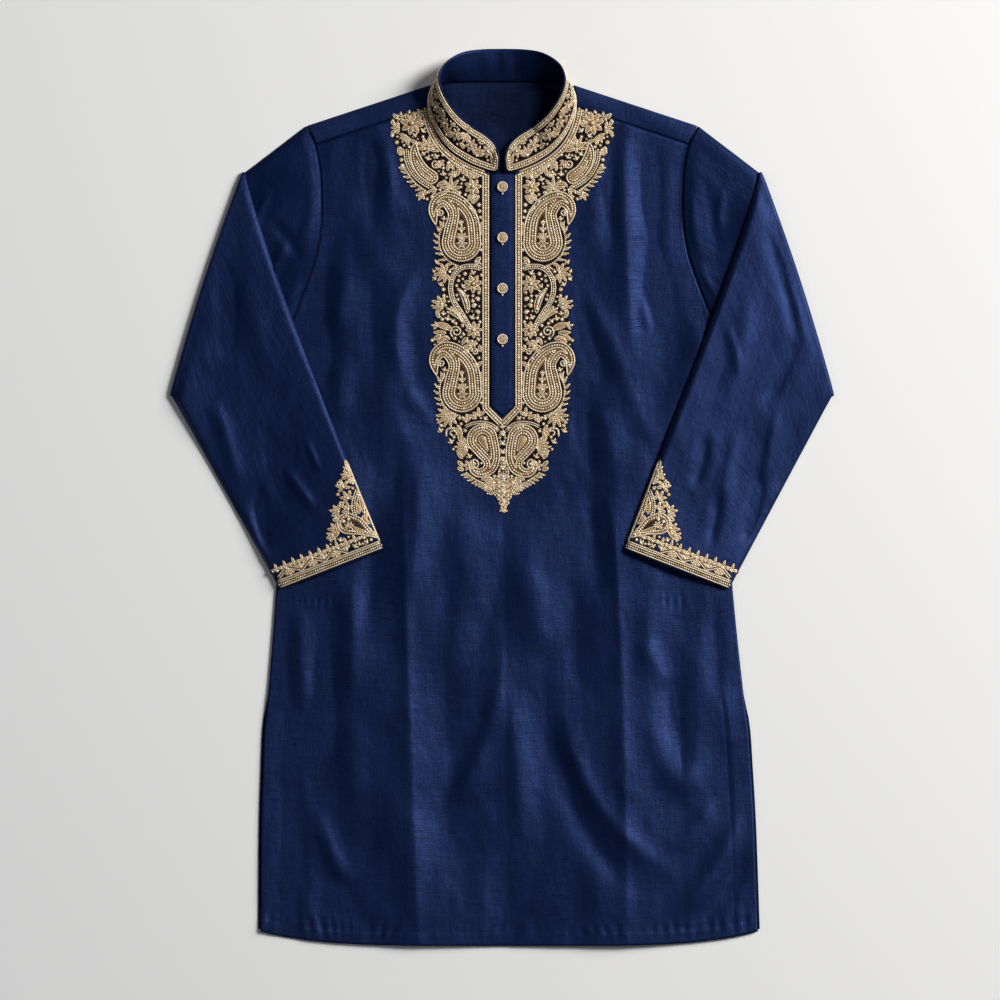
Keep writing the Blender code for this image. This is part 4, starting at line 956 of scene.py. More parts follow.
def front_height(x, y):
    """Top of the front panel in millimetres, at places given before the drift."""
    x, y = np.asarray(x, float), np.asarray(y, float)
    folds = FOLD_STRENGTH * sum(ridge(x, y, fold) for fold in FRONT_FOLDS) + swells(x, y, FRONT_SWELLS[1:])
    slow = np.interp(x, *np.transpose(PRESSED_LIFT)) * (1 - 0.45 * ease(y, -20.0, 160.0))
    slow = slow + swells(x, y, FRONT_SWELLS[:1])
    inside = side_x(y) - np.abs(x)
    beyond = np.abs(x) - np.interp(y, *np.transpose(STITCHED_TABLE))
    above_hem = y - hem_y(x)
    raised = folds * ease(beyond, -2.0, 26.0) + slow * ease(beyond, -2.0, 80.0)
    made = FRONT_TOP + raised * ease(inside, 0.0, 34.0) * (0.75 + 0.25 * ease(above_hem, 0.0, 60.0))
    made = made + puckers(x, above_hem, HEM_DEPTH + 1.0, reach=11.0, pitch=13.0, height=0.6, seed=21)
    made = made + stitch_groove(above_hem - HEM_DEPTH) + 0.35 * ease(HEM_DEPTH - above_hem, -0.4, 0.8)
    slit = ease(SLIT_TOP_Y - y, 0.0, 12.0)
    made = made + slit * (stitch_groove(inside - SLIT_HEM) + 0.6 * ease(SLIT_HEM - inside, -0.5, 2.5))
    pocket = ease(np.abs(x) - POCKET_X[0], 0.0, 18.0) * ease(POCKET_X[1] - np.abs(x), 0.0, 14.0)
    made = made + pocket * puckers(x, y, POCKET_Y, reach=7.0, pitch=8.5, height=0.5, seed=31)
    return np.maximum(made, BACK_TOP + CLOTH + LEAST_GAP)


def half_rows(inner, outer, columns, powers):
    """Points from the middle to the side, row by row, with each row bowed by its own power."""
    u = np.asarray(columns)[None, :]
    x = inner[:, :1] + (outer[:, :1] - inner[:, :1]) * u
    y = inner[:, 1:] + (outer[:, 1:] - inner[:, 1:]) * u ** np.asarray(powers)[:, None]
    return x, y


def both_halves(x, y, joined_rows):
    """The flat places of a mirrored sheet, and its cells. The first rows are joined in the middle."""
    rows, columns = x.shape
    right = np.arange(rows * columns).reshape(rows, columns)
    left = right + rows * columns
    left[:joined_rows, 0] = right[:joined_rows, 0]
    places = np.column_stack([np.concatenate([x.ravel(), -x.ravel()]), np.tile(y.ravel(), 2)])
    cells = grid_cells(rows, columns)
    return places, np.vstack([right.ravel()[cells], left.ravel()[cells][:, ::-1]])


def collar_foot(inset):
    """Where the band meets the body, moved in towards the neck."""
    line = smooth_curve([row[:2] for row in COLLAR_TABLE], 113)
    return line + inset * unit(np.array(NECK_CENTRE) - line)


def front_sheet():
    """Places and cells of the front: joined up to the placket's point, and open on both sides of it above."""
    below = np.concatenate([np.linspace(0, 0.07, 17)[:-1], np.linspace(0.07, 1, 106)])
    columns = np.linspace(0, 1, 112)
    inner = [(0.0, HEM_CENTRE_Y + (SLOT_TIP_Y - HEM_CENTRE_Y) * f) for f in below]
    heights = [HEM_CORNER_Y + (SLOT_CORNER_Y - HEM_CORNER_Y) * f for f in below]
    powers = [1 + (HEM_CURVE_POWER - 1) * max(1 - 6 * f, 0.0) for f in below]
    joined = len(inner)
    foot = collar_foot(2.0)
    neckline = foot[(foot[:, 0] > SLOT_HALF + 1.0) & (foot[:, 1] < YOKE_SEAM_NECK[1])]
    neckline = np.vstack([neckline, np.array(YOKE_SEAM_NECK) + (-3.0, 1.0)])
    neckline = evenly(neckline, 4.2)
    beside = 52
    inner += [(SLOT_HALF, y) for y in np.linspace(SLOT_CORNER_Y, PLACKET_TOP_Y, beside)] + neckline.tolist()
    above = beside + len(neckline)
    heights += np.linspace(SLOT_CORNER_Y + 5.0, YOKE_SEAM_ARM[1], above).tolist()
    powers += [1.0] * above
    outer = np.column_stack([side_x(heights), heights])
    x, y = half_rows(np.array(inner), outer, columns, powers)
    return both_halves(x, y, joined)


def laid(places, height):
    """Points in the model's frame, from places before the drift and their heights."""
    return np.column_stack([places[:, 0] + drift(places[:, 1]), places[:, 1], height])


def make_front_panel():
    """The front from hem to yoke, open below the collar, with shade painted on it as sheen taken away, and
    the dark ground under the chest embroidery.
    """
    places, cells = front_sheet()
    upper = laid(places, front_height(places[:, 0], places[:, 1]))
    x, y = places.T
    # Painted shade, as sheen taken away: over the right chest, away from the light, along the left armhole
    # seam and beside the left sleeve
    shaded_right_chest = ease(-x, 40.0, 150.0) * ease(y, 60.0, 260.0)
    shaded_left_armhole = ease(y, 305.0, 330.0) * ease(5.0 - (side_x(y) - x), 0.0, 4.0)
    painted_shade_and_dulling = 0.32 * shaded_right_chest + 0.8 * shaded_left_armhole + 0.65 * shade_beside_sleeve(x, y)
    painted_shade_and_dulling = painted_shade_and_dulling + 0.10 * lattice_noise(x, y, 46.0, 90.0, 61)
    # Under the chest embroidery the cloth turns to the dark ground: dark thread, with painted shade between
    # the motifs
    stitched = inside_outline(np.column_stack([np.abs(x), y]), np.array(CHEST_OUTLINE))
    painted_shade_and_dulling = np.where(stitched, STITCHED, np.minimum(painted_shade_and_dulling, MOST_SHADE_AND_DULLING))
    made = wall("front_panel_silk", upper, upper - (0, 0, CLOTH), cells, places, painted_shade_and_dulling)
    finish_piece(made, [SILK], "silk", "front_panel")
    return upper, cells


def make_back_panel():
    """The back, flat on the floor, which shows its inside behind the neck."""
    below = np.linspace(0, 1, 60)
    columns = np.linspace(0, 1, 46)
    shorter, middle_top, side_top, first_row_y, last_row_y = 3.0, 330.0, 300.0, 306.0, 410.0
    inner = [(0.0, HEM_CENTRE_Y + shorter + (middle_top - HEM_CENTRE_Y) * f) for f in below]
    heights = [HEM_CORNER_Y + shorter + (side_top - HEM_CORNER_Y) * f for f in below]
    powers = [1 + (HEM_CURVE_POWER - 1) * max(1 - 6 * f, 0.0) for f in below]
    outer = np.column_stack([side_x(heights) + 2.4 * ease(SLIT_TOP_Y - np.array(heights), 0, 40), heights])
    x, y = half_rows(np.array(inner), outer, columns, powers)
    shoulder = unit(np.array(SHOULDER_TIP) - np.array(SHOULDER_NECK))
    drop = 8.5 * np.array((shoulder[1], -shoulder[0]))
    neck, tip = np.array(SHOULDER_NECK) + drop, np.array(SHOULDER_TIP) + drop - 3 * SEAM_GAP * shoulder
    top = smooth_curve([(0.0, 489.0), (36.0, 489.2), (60.0, 488.6), (74.0, 486.0), neck], 13)[:-1]
    top = np.vstack([top, [blend(neck, tip, share) for share in np.linspace(0, 1, 34)]])
    shares = np.linspace(0, 1, 46)[1:, None]
    armhole = first_row_y + shares * (last_row_y - first_row_y)
    x_top = x[-1] * (1 - shares) + top[:, 0] * shares
    y_top = y[-1] * (1 - shares) + top[:, 1] * shares
    x_top[:-1, -1] = side_x(armhole[:-1, 0])
    y_top[:-1, -1] = armhole[:-1, 0]
    places, cells = both_halves(np.vstack([x, x_top]), np.vstack([y, y_top]), len(x) + len(x_top))
    x, y = places[:, 0], places[:, 1]
    in_neck = ease(y, 396.0, 420.0) * ease(486.0 - y, -1.0, 12.0) * ease(76.0 - np.abs(x), 0.0, 16.0)
    swell = 1.3 + 1.3 * lattice_noise(x + 0.4 * y, y, 17.0, 30.0, 51)
    swell = swell + 0.7 * lattice_noise(x, y, 8.0, 15.0, 52)
    swell = swell + NECK_RISE * ease(x, -30.0, 70.0) + 1.2 * ease(-x, 20.0, 70.0)
    upper = laid(places, BACK_TOP + in_neck * np.maximum(swell, 0.0))
    lower = laid(places, np.zeros(len(places)))
    # Painted shadow of the collar on the inside behind the neck: the sheen is taken away towards +X
    made = wall("back_panel_silk", upper, lower, cells, places, MOST_SHADE_AND_DULLING * ease(x, -20.0, 60.0))
    finish_piece(made, [SILK_INSIDE_SHADED], "silk_inside", "back_panel")


def make_yoke(name, side):
    """A strip folded over the shoulder: flat behind, rounded at the fold, with its seam in front."""
    bend = 0.5 * (FRONT_TOP - CLOTH)
    stations = 44
    behind = [(8.0, 0.0), (4.0, 0.0), (bend, 0.0)]
    turns = np.linspace(0, math.pi, 10)[1:-1]
    fold = [(bend * (1 - math.sin(a)), bend * (1 - math.cos(a))) for a in turns]
    parts = np.linspace(0, 1, 12)
    grid = np.zeros((len(behind) + len(fold) + len(parts), stations, 3))
    uv = np.zeros((grid.shape[0], stations, 2))
    for k, share in enumerate(np.linspace(0, 1, stations)):
        edge = blend(SHOULDER_NECK, SHOULDER_TIP, share)
        seam = blend(YOKE_SEAM_NECK, YOKE_SEAM_ARM, share)
        width = np.linalg.norm(seam - edge)
        run = (seam - edge) / width
        reach = width - SEAM_GAP - bend
        swell = 0.8 + 0.5 * math.sin(9.0 * share + 0.6 * side)
        strip = [(bend + reach * p, 2 * bend + swell * math.sin(math.pi * p) ** 0.8) for p in parts]
        for row, (depth, lift) in enumerate(behind + fold + strip):
            x, y = edge + run * depth
            grid[row, k] = (side * x, y, 0.5 * CLOTH + lift)
            uv[row, k] = (150.0 * share, 300.0 - depth - lift)
    grid[:, -1, 0] -= side * SEAM_GAP
    normals = unit_normals(grid)
    if normals[-3, stations // 2, 2] < 0:
        normals = -normals
    upper = (grid + 0.5 * CLOTH * normals).reshape(-1, 3)
    lower = (grid - 0.5 * CLOTH * normals).reshape(-1, 3)
    cells = grid_cells(*grid.shape[:2])
    if side > 0:
        cells = cells[:, ::-1]
    made = wall(f"yoke_{name}_silk", upper, lower, cells, uv.reshape(-1, 2))
    finish_piece(made, [SILK], "silk", f"yoke_{name}")


def make_placket(name, half, offset, low, thick, crown):
    """A strip with a pointed lower end, slightly crowned, with a groove of topstitching along each edge."""
    inset = SLOT_HALF - half
    corner_y = SLOT_CORNER_Y + 0.4 * inset
    tip_y = SLOT_TIP_Y + 1.3 * inset
    across = np.linspace(-1, 1, 21)
    rows = np.linspace(0, 1, 110)
    x = offset + half * across[None, :] + 0 * rows[:, None]
    first = corner_y - (corner_y - tip_y) * (1 - np.abs(across))
    y = first[None, :] * (1 - rows[:, None]) + (PLACKET_TOP_Y - 2.0) * rows[:, None]
    edge = half * (1 - np.abs(across))[None, :]
    height = low + thick + crown * ease(edge, 0.0, 6.0) + stitch_groove(edge - 2.6, 0.7, 0.3 * crown)
    height = height + crown * 0.5 * lattice_noise(x, y, 14.0, 26.0, 3)
    points = np.column_stack([x.ravel(), y.ravel(), height.ravel()])
    lower = np.column_stack([x.ravel(), y.ravel(), np.full(x.size, low)])
    uv = np.column_stack([x.ravel() + 400.0, y.ravel()])
    # Painted shade along the strip's edges: the sheen is taken away there
    painted_shade_and_dulling = MOST_SHADE_AND_DULLING * ease(2.6 - edge, 0.0, 2.4) + 0 * x
    made = wall(f"{name}_silk", points, lower, grid_cells(*x.shape), uv, painted_shade_and_dulling.ravel())
    finish_piece(made, [SILK], "silk", name)


# ---------------------------------------------------------------- collar


def band_top(a):
    """Height of the band this far along it from a front end, with its rounded corner."""
    return np.interp(a, *smooth_curve(BAND_TOP_TABLE, 60).T)


def collar_grid(stations, levels):
    """Mid-surface of the band, from its left front end round to the right one, finest at its ends."""
    fine = smooth_curve(COLLAR_TABLE, 600)
    at = np.linspace(0, 1, stations) ** 1.6 * (len(fine) - 1)
    half = np.column_stack([np.interp(at, np.arange(len(fine)), column) for column in fine.T])
    whole = np.vstack([half, half[-2::-1] * (-1, 1, 1, -1, 1)])
    foot, edge = whole[:, :2], whole[:, 3:]
    lengths = run_along(foot)
    v = np.linspace(0, 1, levels)[None, :] * band_top(np.minimum(lengths, lengths[-1] - lengths))[:, None]
    v = v / BAND_HEIGHT
    lean = edge - foot
    run = np.linalg.norm(lean, axis=1, keepdims=True)
    lean = lean / run
    rise = np.sqrt(np.maximum(BAND_HEIGHT**2 - run**2, BAND_LEAST_RISE**2))
    at_back = ease(foot[:, 1:], 476.0, 486.0)
    wave = np.sin(foot[:, :1] / 4.6 + 1.5 * np.sin(foot[:, :1] / 13.0))
    bow = (2.2 + BAND_WAVE * at_back * wave) * np.sin(np.pi * v)
    out = run * v - bow * rise / BAND_HEIGHT
    x = foot[:, :1] + lean[:, :1] * out
    y = foot[:, 1:] + lean[:, 1:] * out
    z = whole[:, 2:3] + rise * v + bow * run / BAND_HEIGHT
    return np.stack([x, y, z], axis=2)


def tube(points, radius, around=8):
    """Points and faces of a closed-ended round tube along a 3-D line."""
    points = np.asarray(points, float)
    tangent = unit(np.gradient(points, axis=0))
    sideways = unit(np.cross(tangent, (0.0, 0.0, 1.0)))[:, None]
    upwards = np.cross(sideways[:, 0], tangent)[:, None]
    angles = (np.arange(around) * 2 * math.pi / around)[None, :, None]
    made = points[:, None] + radius * (np.cos(angles) * sideways + np.sin(angles) * upwards)
    first = np.arange(around)
    last = (len(points) - 1) * around
    faces = ring_cells(len(points), around)[:, ::-1].tolist()
    return made.reshape(-1, 3), faces + [first.tolist(), (first[::-1] + last).tolist()]


def make_collar_piping(grid):
    """A narrow rolled edge of the same silk round the band's ends and its upper edge."""
    line = np.vstack([grid[0, :-1], grid[:, -1], grid[-1, -2::-1]]) + (0.0, 0.0, 0.15)
    points, faces = tube(line, 1.05)
    uv = np.column_stack([np.repeat(run_along(line), 8), np.tile(np.arange(8) * 0.9 + 900.0, len(line))])
    made = make_object("collar_piping_silk", points, faces, uv)
    return finish_piece(made, [SILK], "silk")


def make_collar():
    """The band collar, its rounded ends open at the front. Returns its surface for the embroidery."""
    grid = collar_grid(90, 17)
    normals = unit_normals(grid)
    along = run_along(grid[:, 0])
    v = np.linspace(0, BAND_HEIGHT, grid.shape[1])
    uv = np.stack(np.broadcast_arrays(along[:, None], v[None, :] + 700.0), axis=2).reshape(-1, 2)
    half = 0.5 * BAND_WALL
    outer = (grid + half * normals).reshape(-1, 3)
    inner = (grid - half * normals).reshape(-1, 3)
    # Painted shade on the band's inner face, darker towards +X; its outer face is the dark ground under the
    # gold, partly painted shade
    inside = 0.8 * ease(grid[..., 0].ravel(), -10.0, 50.0)
    painted_shade_and_dulling = np.stack([np.full(len(outer), STITCHED), inside])
    made = wall("collar_silk", outer, inner, grid_cells(*grid.shape[:2])[:, ::-1], uv, painted_shade_and_dulling)
    finish_piece(made, [SILK], "silk", "collar")
    piping = make_collar_piping(grid)
    return grid, normals, along


# ---------------------------------------------------------------- sleeves


# Places on a sleeve have u from 0, at the shoulder, to 1, at the underarm, and are given before the drift


def square_to(start, end):
    """Unit vector square to a straight line, on its left."""
    run = np.subtract(end, start)
    return np.array((-run[1], run[0])) / np.linalg.norm(run)


def fold_outwards():
    """The way out over the sleeve's fold."""
    return square_to(FOLD_TOP, FOLD_ELBOW)


def armhole_points(u):
    """Where the left sleeve is sewn on, from shoulder (0) to underarm (1)."""
    y = SHOULDER_TIP[1] + (UNDERARM_Y - SHOULDER_TIP[1]) * u
    share = (y - YOKE_SEAM_ARM[1]) / (SHOULDER_TIP[1] - YOKE_SEAM_ARM[1])
    beside_yoke = YOKE_SEAM_ARM[0] + (SHOULDER_TIP[0] - YOKE_SEAM_ARM[0]) * share
    x = np.where(share > 0, beside_yoke, side_x(y))
    return np.stack([x + 2 * SEAM_GAP, y], axis=-1)


def fold_points(u):
    """The sleeve's fold, from shoulder (0) to elbow (1)."""
    u = np.asarray(u, float)[..., None]
    return blend(FOLD_TOP, FOLD_ELBOW, u) + fold_outwards() * FOLD_BULGE * np.sin(np.pi * u)


def cuff_points(u):
    """The sleeve's end, from its inner corner (0) to its outer one (1)."""
    u = np.asarray(u, float)[..., None]
    bulge = square_to(CUFF_OUTER, CUFF_INNER) * CUFF_BULGE * np.sin(np.pi * u)
    return blend(CUFF_INNER, CUFF_OUTER, u) + bulge


def lower_points(s, u):
    """Places on the folded-over sleeve, from the fold (s = 0) to the cuff (s = 1)."""
    s, u = np.broadcast_arrays(np.asarray(s, float), np.asarray(u, float))
    bow = TOP_CREASE_BOW * (1 - u) ** 2 * np.sin(np.pi * s**0.7)
    share = s[..., None]
    return (1 - share) * fold_points(u) + share * cuff_points(u) + bow[..., None] * fold_outwards()


def layers_at(u):
    """Height of the flattened tube, which is less at its creased edges."""
    share = np.clip(np.minimum(u, 1 - u) / SLEEVE_EDGE_REACH, 0.0, 1.0)
    return SLEEVE_LAYERS * (SLEEVE_EDGE_SHARE + (1 - SLEEVE_EDGE_SHARE) * np.sqrt(share))


def height_below(side, x, y):
    """What the folded-over sleeve lies on: the front panel, the upper sleeve or the floor."""
    on_body = x < side_x(y)
    run = np.array(FOLD_ELBOW) - (UNDERARM_X, UNDERARM_Y)
    above_seam = (y - UNDERARM_Y) * run[0] - (x - UNDERARM_X) * run[1] > 0
    return np.where(on_body, front_height(side * x, y), np.where(above_seam, SLEEVE_LAYERS, 0.0))


def settle_sleeve(side):
    """Height of the folded-over half's underside, stretched softly over what is below it."""
    s, u = np.meshgrid(np.linspace(0, 1, 64), np.linspace(0, 1, 34), indexing="ij")
    spots = lower_points(s, u)
    reach = 5.0
    offsets = [(0.0, 0.0)] + [(reach * math.cos(a), reach * math.sin(a)) for a in np.arange(8) * math.pi / 4]
    below = [height_below(side, spots[..., 0] + dx, spots[..., 1] + dy) for dx, dy in offsets]
    needed = np.max(below, axis=0) + LAYER_GAP
    needed[0] = SLEEVE_LAYERS + LAYER_GAP
    height = needed.copy()
    for _ in range(400):
        height[1:-1] = 0.5 * height[1:-1] + 0.25 * (height[2:] + height[:-2])
        height[:, 1:-1] = 0.5 * height[:, 1:-1] + 0.25 * (height[:, 2:] + height[:, :-2])
        height = np.maximum(height, needed)
        height[0] = needed[0]
    return height


def sleeve_shade_and_dulling(side, outer, upper_s, lower_s):
    """Painted shade on the sleeve, as sheen taken away: by halves and beside the inner edge, with some random
    dulling, and the dark ground under the cuff's gold, partly painted shade.
    """
    upper, lower = SLEEVE_PAINTED_SHADE[side]
    first, last = len(upper_s), len(lower_s)
    turning = np.linspace(0, 1, len(outer) - first - last)
    at = np.concatenate([np.zeros(first), turning, np.ones(last)])[:, None]
    painted_shade_and_dulling = blend(upper, lower, at) + swells(outer[..., 0], outer[..., 1], SLEEVE_DULLING) * (1.0 - 0.5 * at)
    # Painted shade on the upper arm beside the sleeve's inner edge
    shade = 0.45 * shade_beside_sleeve(outer[:first, :, 0], outer[:first, :, 1])
    painted_shade_and_dulling[:first] = np.minimum(painted_shade_and_dulling[:first] + shade, GROUND_FROM - 0.02)
    painted_shade_and_dulling[-last:] += 0.5 * ease(lower_s, 0.94, 0.965)[:, None]
    return np.minimum(painted_shade_and_dulling, 0.95)


def make_sleeve(name, side, folds):
    """A flattened tube of cloth, folded back on itself across the upper arm and open at both ends."""
    rest_table = settle_sleeve(side)
    upper_s = np.linspace(0, 1, 30)
    lower_s = np.linspace(0, 1, 110)
    turns = np.radians(np.linspace(-75, 75, 9))
    floor = SLEEVE_LAYERS + LAYER_GAP

    def cloth_lift(spots, half):
        """Height that the folds of one half, and the swells, add."""
        x, y = side * spots[:, 0], spots[:, 1]
        made = FOLD_STRENGTH * sum(ridge(x, y, fold[:9]) for fold in folds if fold[9] == half)
        return made + swells(x, y, SLEEVE_SWELLS)

    def face(u, layer, inset):
        """One face of the tube, 0 outside the fold and 1 inside it. An inset moves it into the tube."""
        thick = layers_at(u)
        h = thick * layer + inset
        calm = ease(np.minimum(u, 1 - u), 0.0, 0.03)
        rows = []
        for s in upper_s:
            spots = blend(armhole_points(u), fold_points(u), s)
            swell = 1.0 + 1.1 * cloth_lift(spots, UPPER_HALF) + UPPER_ARM_FALL[side] * (1 - s)
            lift = np.maximum(swell, -0.8) * calm * ease(s, 0.0, 0.12) * ease(1 - s, 0.0, 0.2)
            groove = stitch_groove(s * 90.0 - 1.0, 1.5, 0.3)
            rows.append(np.column_stack([spots, h + (lift + groove) * h / thick]))
        for turn in turns:
            radius = 0.5 * (floor + thick - 2 * h)
            spots = fold_points(u) + fold_outwards() * (radius * math.cos(turn))[:, None]
            rows.append(np.column_stack([spots, 0.5 * (floor + thick) + radius * math.sin(turn)]))
        for s in lower_s:
            spots = lower_points(s, u)
            gape = CUFF_GAPE * np.sin(np.pi * u) * ease(s, 0.82, 1.0)
            swell = 1.4 + cloth_lift(spots, LOWER_HALF) * ease(1 - s, 0.05, 0.22)
            roll = SLEEVE_ROLL[side] * ease(u, 0.0, 0.04) * (1 - u) * ease(s, 0.0, 0.16)
            roll = roll * (1 - 0.55 * ease(s, 0.8, 1.0))
            lift = np.maximum(swell, -0.8) * ease(s, 0.0, 0.07) * calm + roll + gape
            rest_row = np.full(u.shape, s * (rest_table.shape[0] - 1))
            rest = read_at(rest_table, rest_row, u * (rest_table.shape[1] - 1))
            rows.append(np.column_stack([spots, rest + thick - h + lift * (1 - h / thick)]))
        return np.array(rows)

    u = np.linspace(0, 1, 64)
    u = 0.45 * (0.5 - 0.5 * np.cos(np.pi * u)) + 0.55 * u
    v = 0.012 + 0.976 * u
    outer = np.concatenate([face(u, 0, 0.0), face(u, 1, 0.0)[:, ::-1]], axis=1)
    inner = np.concatenate([face(v, 0, SLEEVE_WALL), face(v, 1, -SLEEVE_WALL)[:, ::-1]], axis=1)
    for skin in (outer, inner):
        skin[..., 0] = side * skin[..., 0] + drift(skin[..., 1])
    rings, size = outer.shape[:2]
    k, n = ring_pairs(size)
    quads = ring_cells(rings, size)
    total = rings * size
    last = total - size
    first_end = np.column_stack([k + total, n + total, n, k])
    last_end = np.column_stack([k + last, n + last, n + last + total, k + last + total])
    faces = np.vstack([quads, quads[:, ::-1] + total, first_end, last_end])
    if side > 0:
        faces = faces[:, ::-1]
    width = np.linalg.norm(outer[:, 0] - outer[:, len(u) - 1], axis=1)
    across = np.concatenate([u - 0.5, 1.5 - u[::-1]])
    along = run_along(outer[:, len(u) // 2])
    uv = np.stack([width[:, None] * across[None, :] + 600.0 * side, along[:, None] + 0 * across], axis=2)
    uv = uv.reshape(-1, 2)
    points = np.vstack([outer.reshape(-1, 3), inner.reshape(-1, 3)])
    painted_shade_and_dulling = np.tile(sleeve_shade_and_dulling(side, outer, upper_s, lower_s).ravel(), 2)
    made = make_object(f"sleeve_{name}_silk", points, faces.tolist(), np.vstack([uv, uv]), painted_shade_and_dulling=painted_shade_and_dulling)
    finish_piece(made, [SILK], "silk", f"sleeve_{name}")
    top = outer[-len(lower_s) :, : len(u)]
    return top.reshape(-1, 3), grid_cells(*top.shape[:2])


# ---------------------------------------------------------------- gold work


def circle(x, y, radius, count):
    """Evenly spaced points on a circle."""
    angles = np.arange(count) * 2 * math.pi / count
    return np.column_stack([x + radius * np.cos(angles), y + radius * np.sin(angles)])


KNOT_CARRIES = ("knot_radius", "knot_x", "knot_y")


def knot_tree():
    """Seats a low round knot on each loose point of a drawing that carries a radius, and keeps the rest."""
    tree, sizes = new_tree("gold_knots", KNOT)
    carried = [node(tree, "GeometryNodeInputNamedAttribute", (label,)) for label in KNOT_CARRIES]
    radius, x, y = carried
    sides = {"Vertices": sizes["Sides"], "Radius Bottom": 1.0, "Radius Top": sizes["Shoulder Width"]}
    sides["Depth"] = node(tree, MATH, (sizes["Sunk"], sizes["Shoulder Height"]), operation="ADD")
    sides = node(tree, "GeometryNodeMeshCone", sides, fill_type="NONE")
    crown = {"Vertices": sizes["Sides"], "Radius Bottom": sizes["Shoulder Width"], "Radius Top": 0.0}
    crown["Depth"] = node(tree, MATH, (sizes["Crown Height"], sizes["Shoulder Height"]), operation="SUBTRACT")
    crown = node(tree, "GeometryNodeMeshCone", crown, fill_type="NONE")
    low = node(tree, "ShaderNodeCombineXYZ", {"Z": node(tree, MATH, (sizes["Sunk"], -1.0), **TIMES)})
    high = node(tree, "ShaderNodeCombineXYZ", {"Z": sizes["Shoulder Height"]})
    knot = node(tree, "GeometryNodeJoinGeometry")
    for part, level in ((sides, low), (crown, high)):
        moved = node(tree, "GeometryNodeTransform", {"Geometry": part, "Translation": level})
        tree.links.new(moved, knot.node.inputs["Geometry"])
    knot = node(tree, "GeometryNodeMergeByDistance", {"Geometry": knot, "Distance": 0.001})
    knot = node(tree, "GeometryNodeSetShadeSmooth", {"Geometry": knot})
    loose = node(tree, "FunctionNodeCompare", {"A": radius, "B": 0.0}, operation="GREATER_THAN")
    points = node(tree, "GeometryNodeSeparateGeometry", {"Geometry": sizes["Geometry"], "Selection": loose})
    seated = node(tree, "GeometryNodeInstanceOnPoints", {"Points": points, "Instance": knot, "Scale": radius})
    seated = node(tree, "GeometryNodeRealizeInstances", {"Geometry": seated})
    drawn_at = {"Geometry": seated, "Name": "thread_mm", "Value": node(tree, "ShaderNodeCombineXYZ", (x, y))}
    seated = node(tree, "GeometryNodeStoreNamedAttribute", drawn_at, data_type="FLOAT2", domain="CORNER")
    seated = node(tree, "GeometryNodeSetMaterial", {"Geometry": seated, "Material": GOLD_BEAD})
    whole = node(tree, "GeometryNodeJoinGeometry", {"Geometry": points.node.outputs["Inverted"]})
    tree.links.new(seated, whole.node.inputs["Geometry"])
    node(tree, "NodeGroupOutput", {"Geometry": whole})
    return tree


KNOT_TREE = knot_tree()


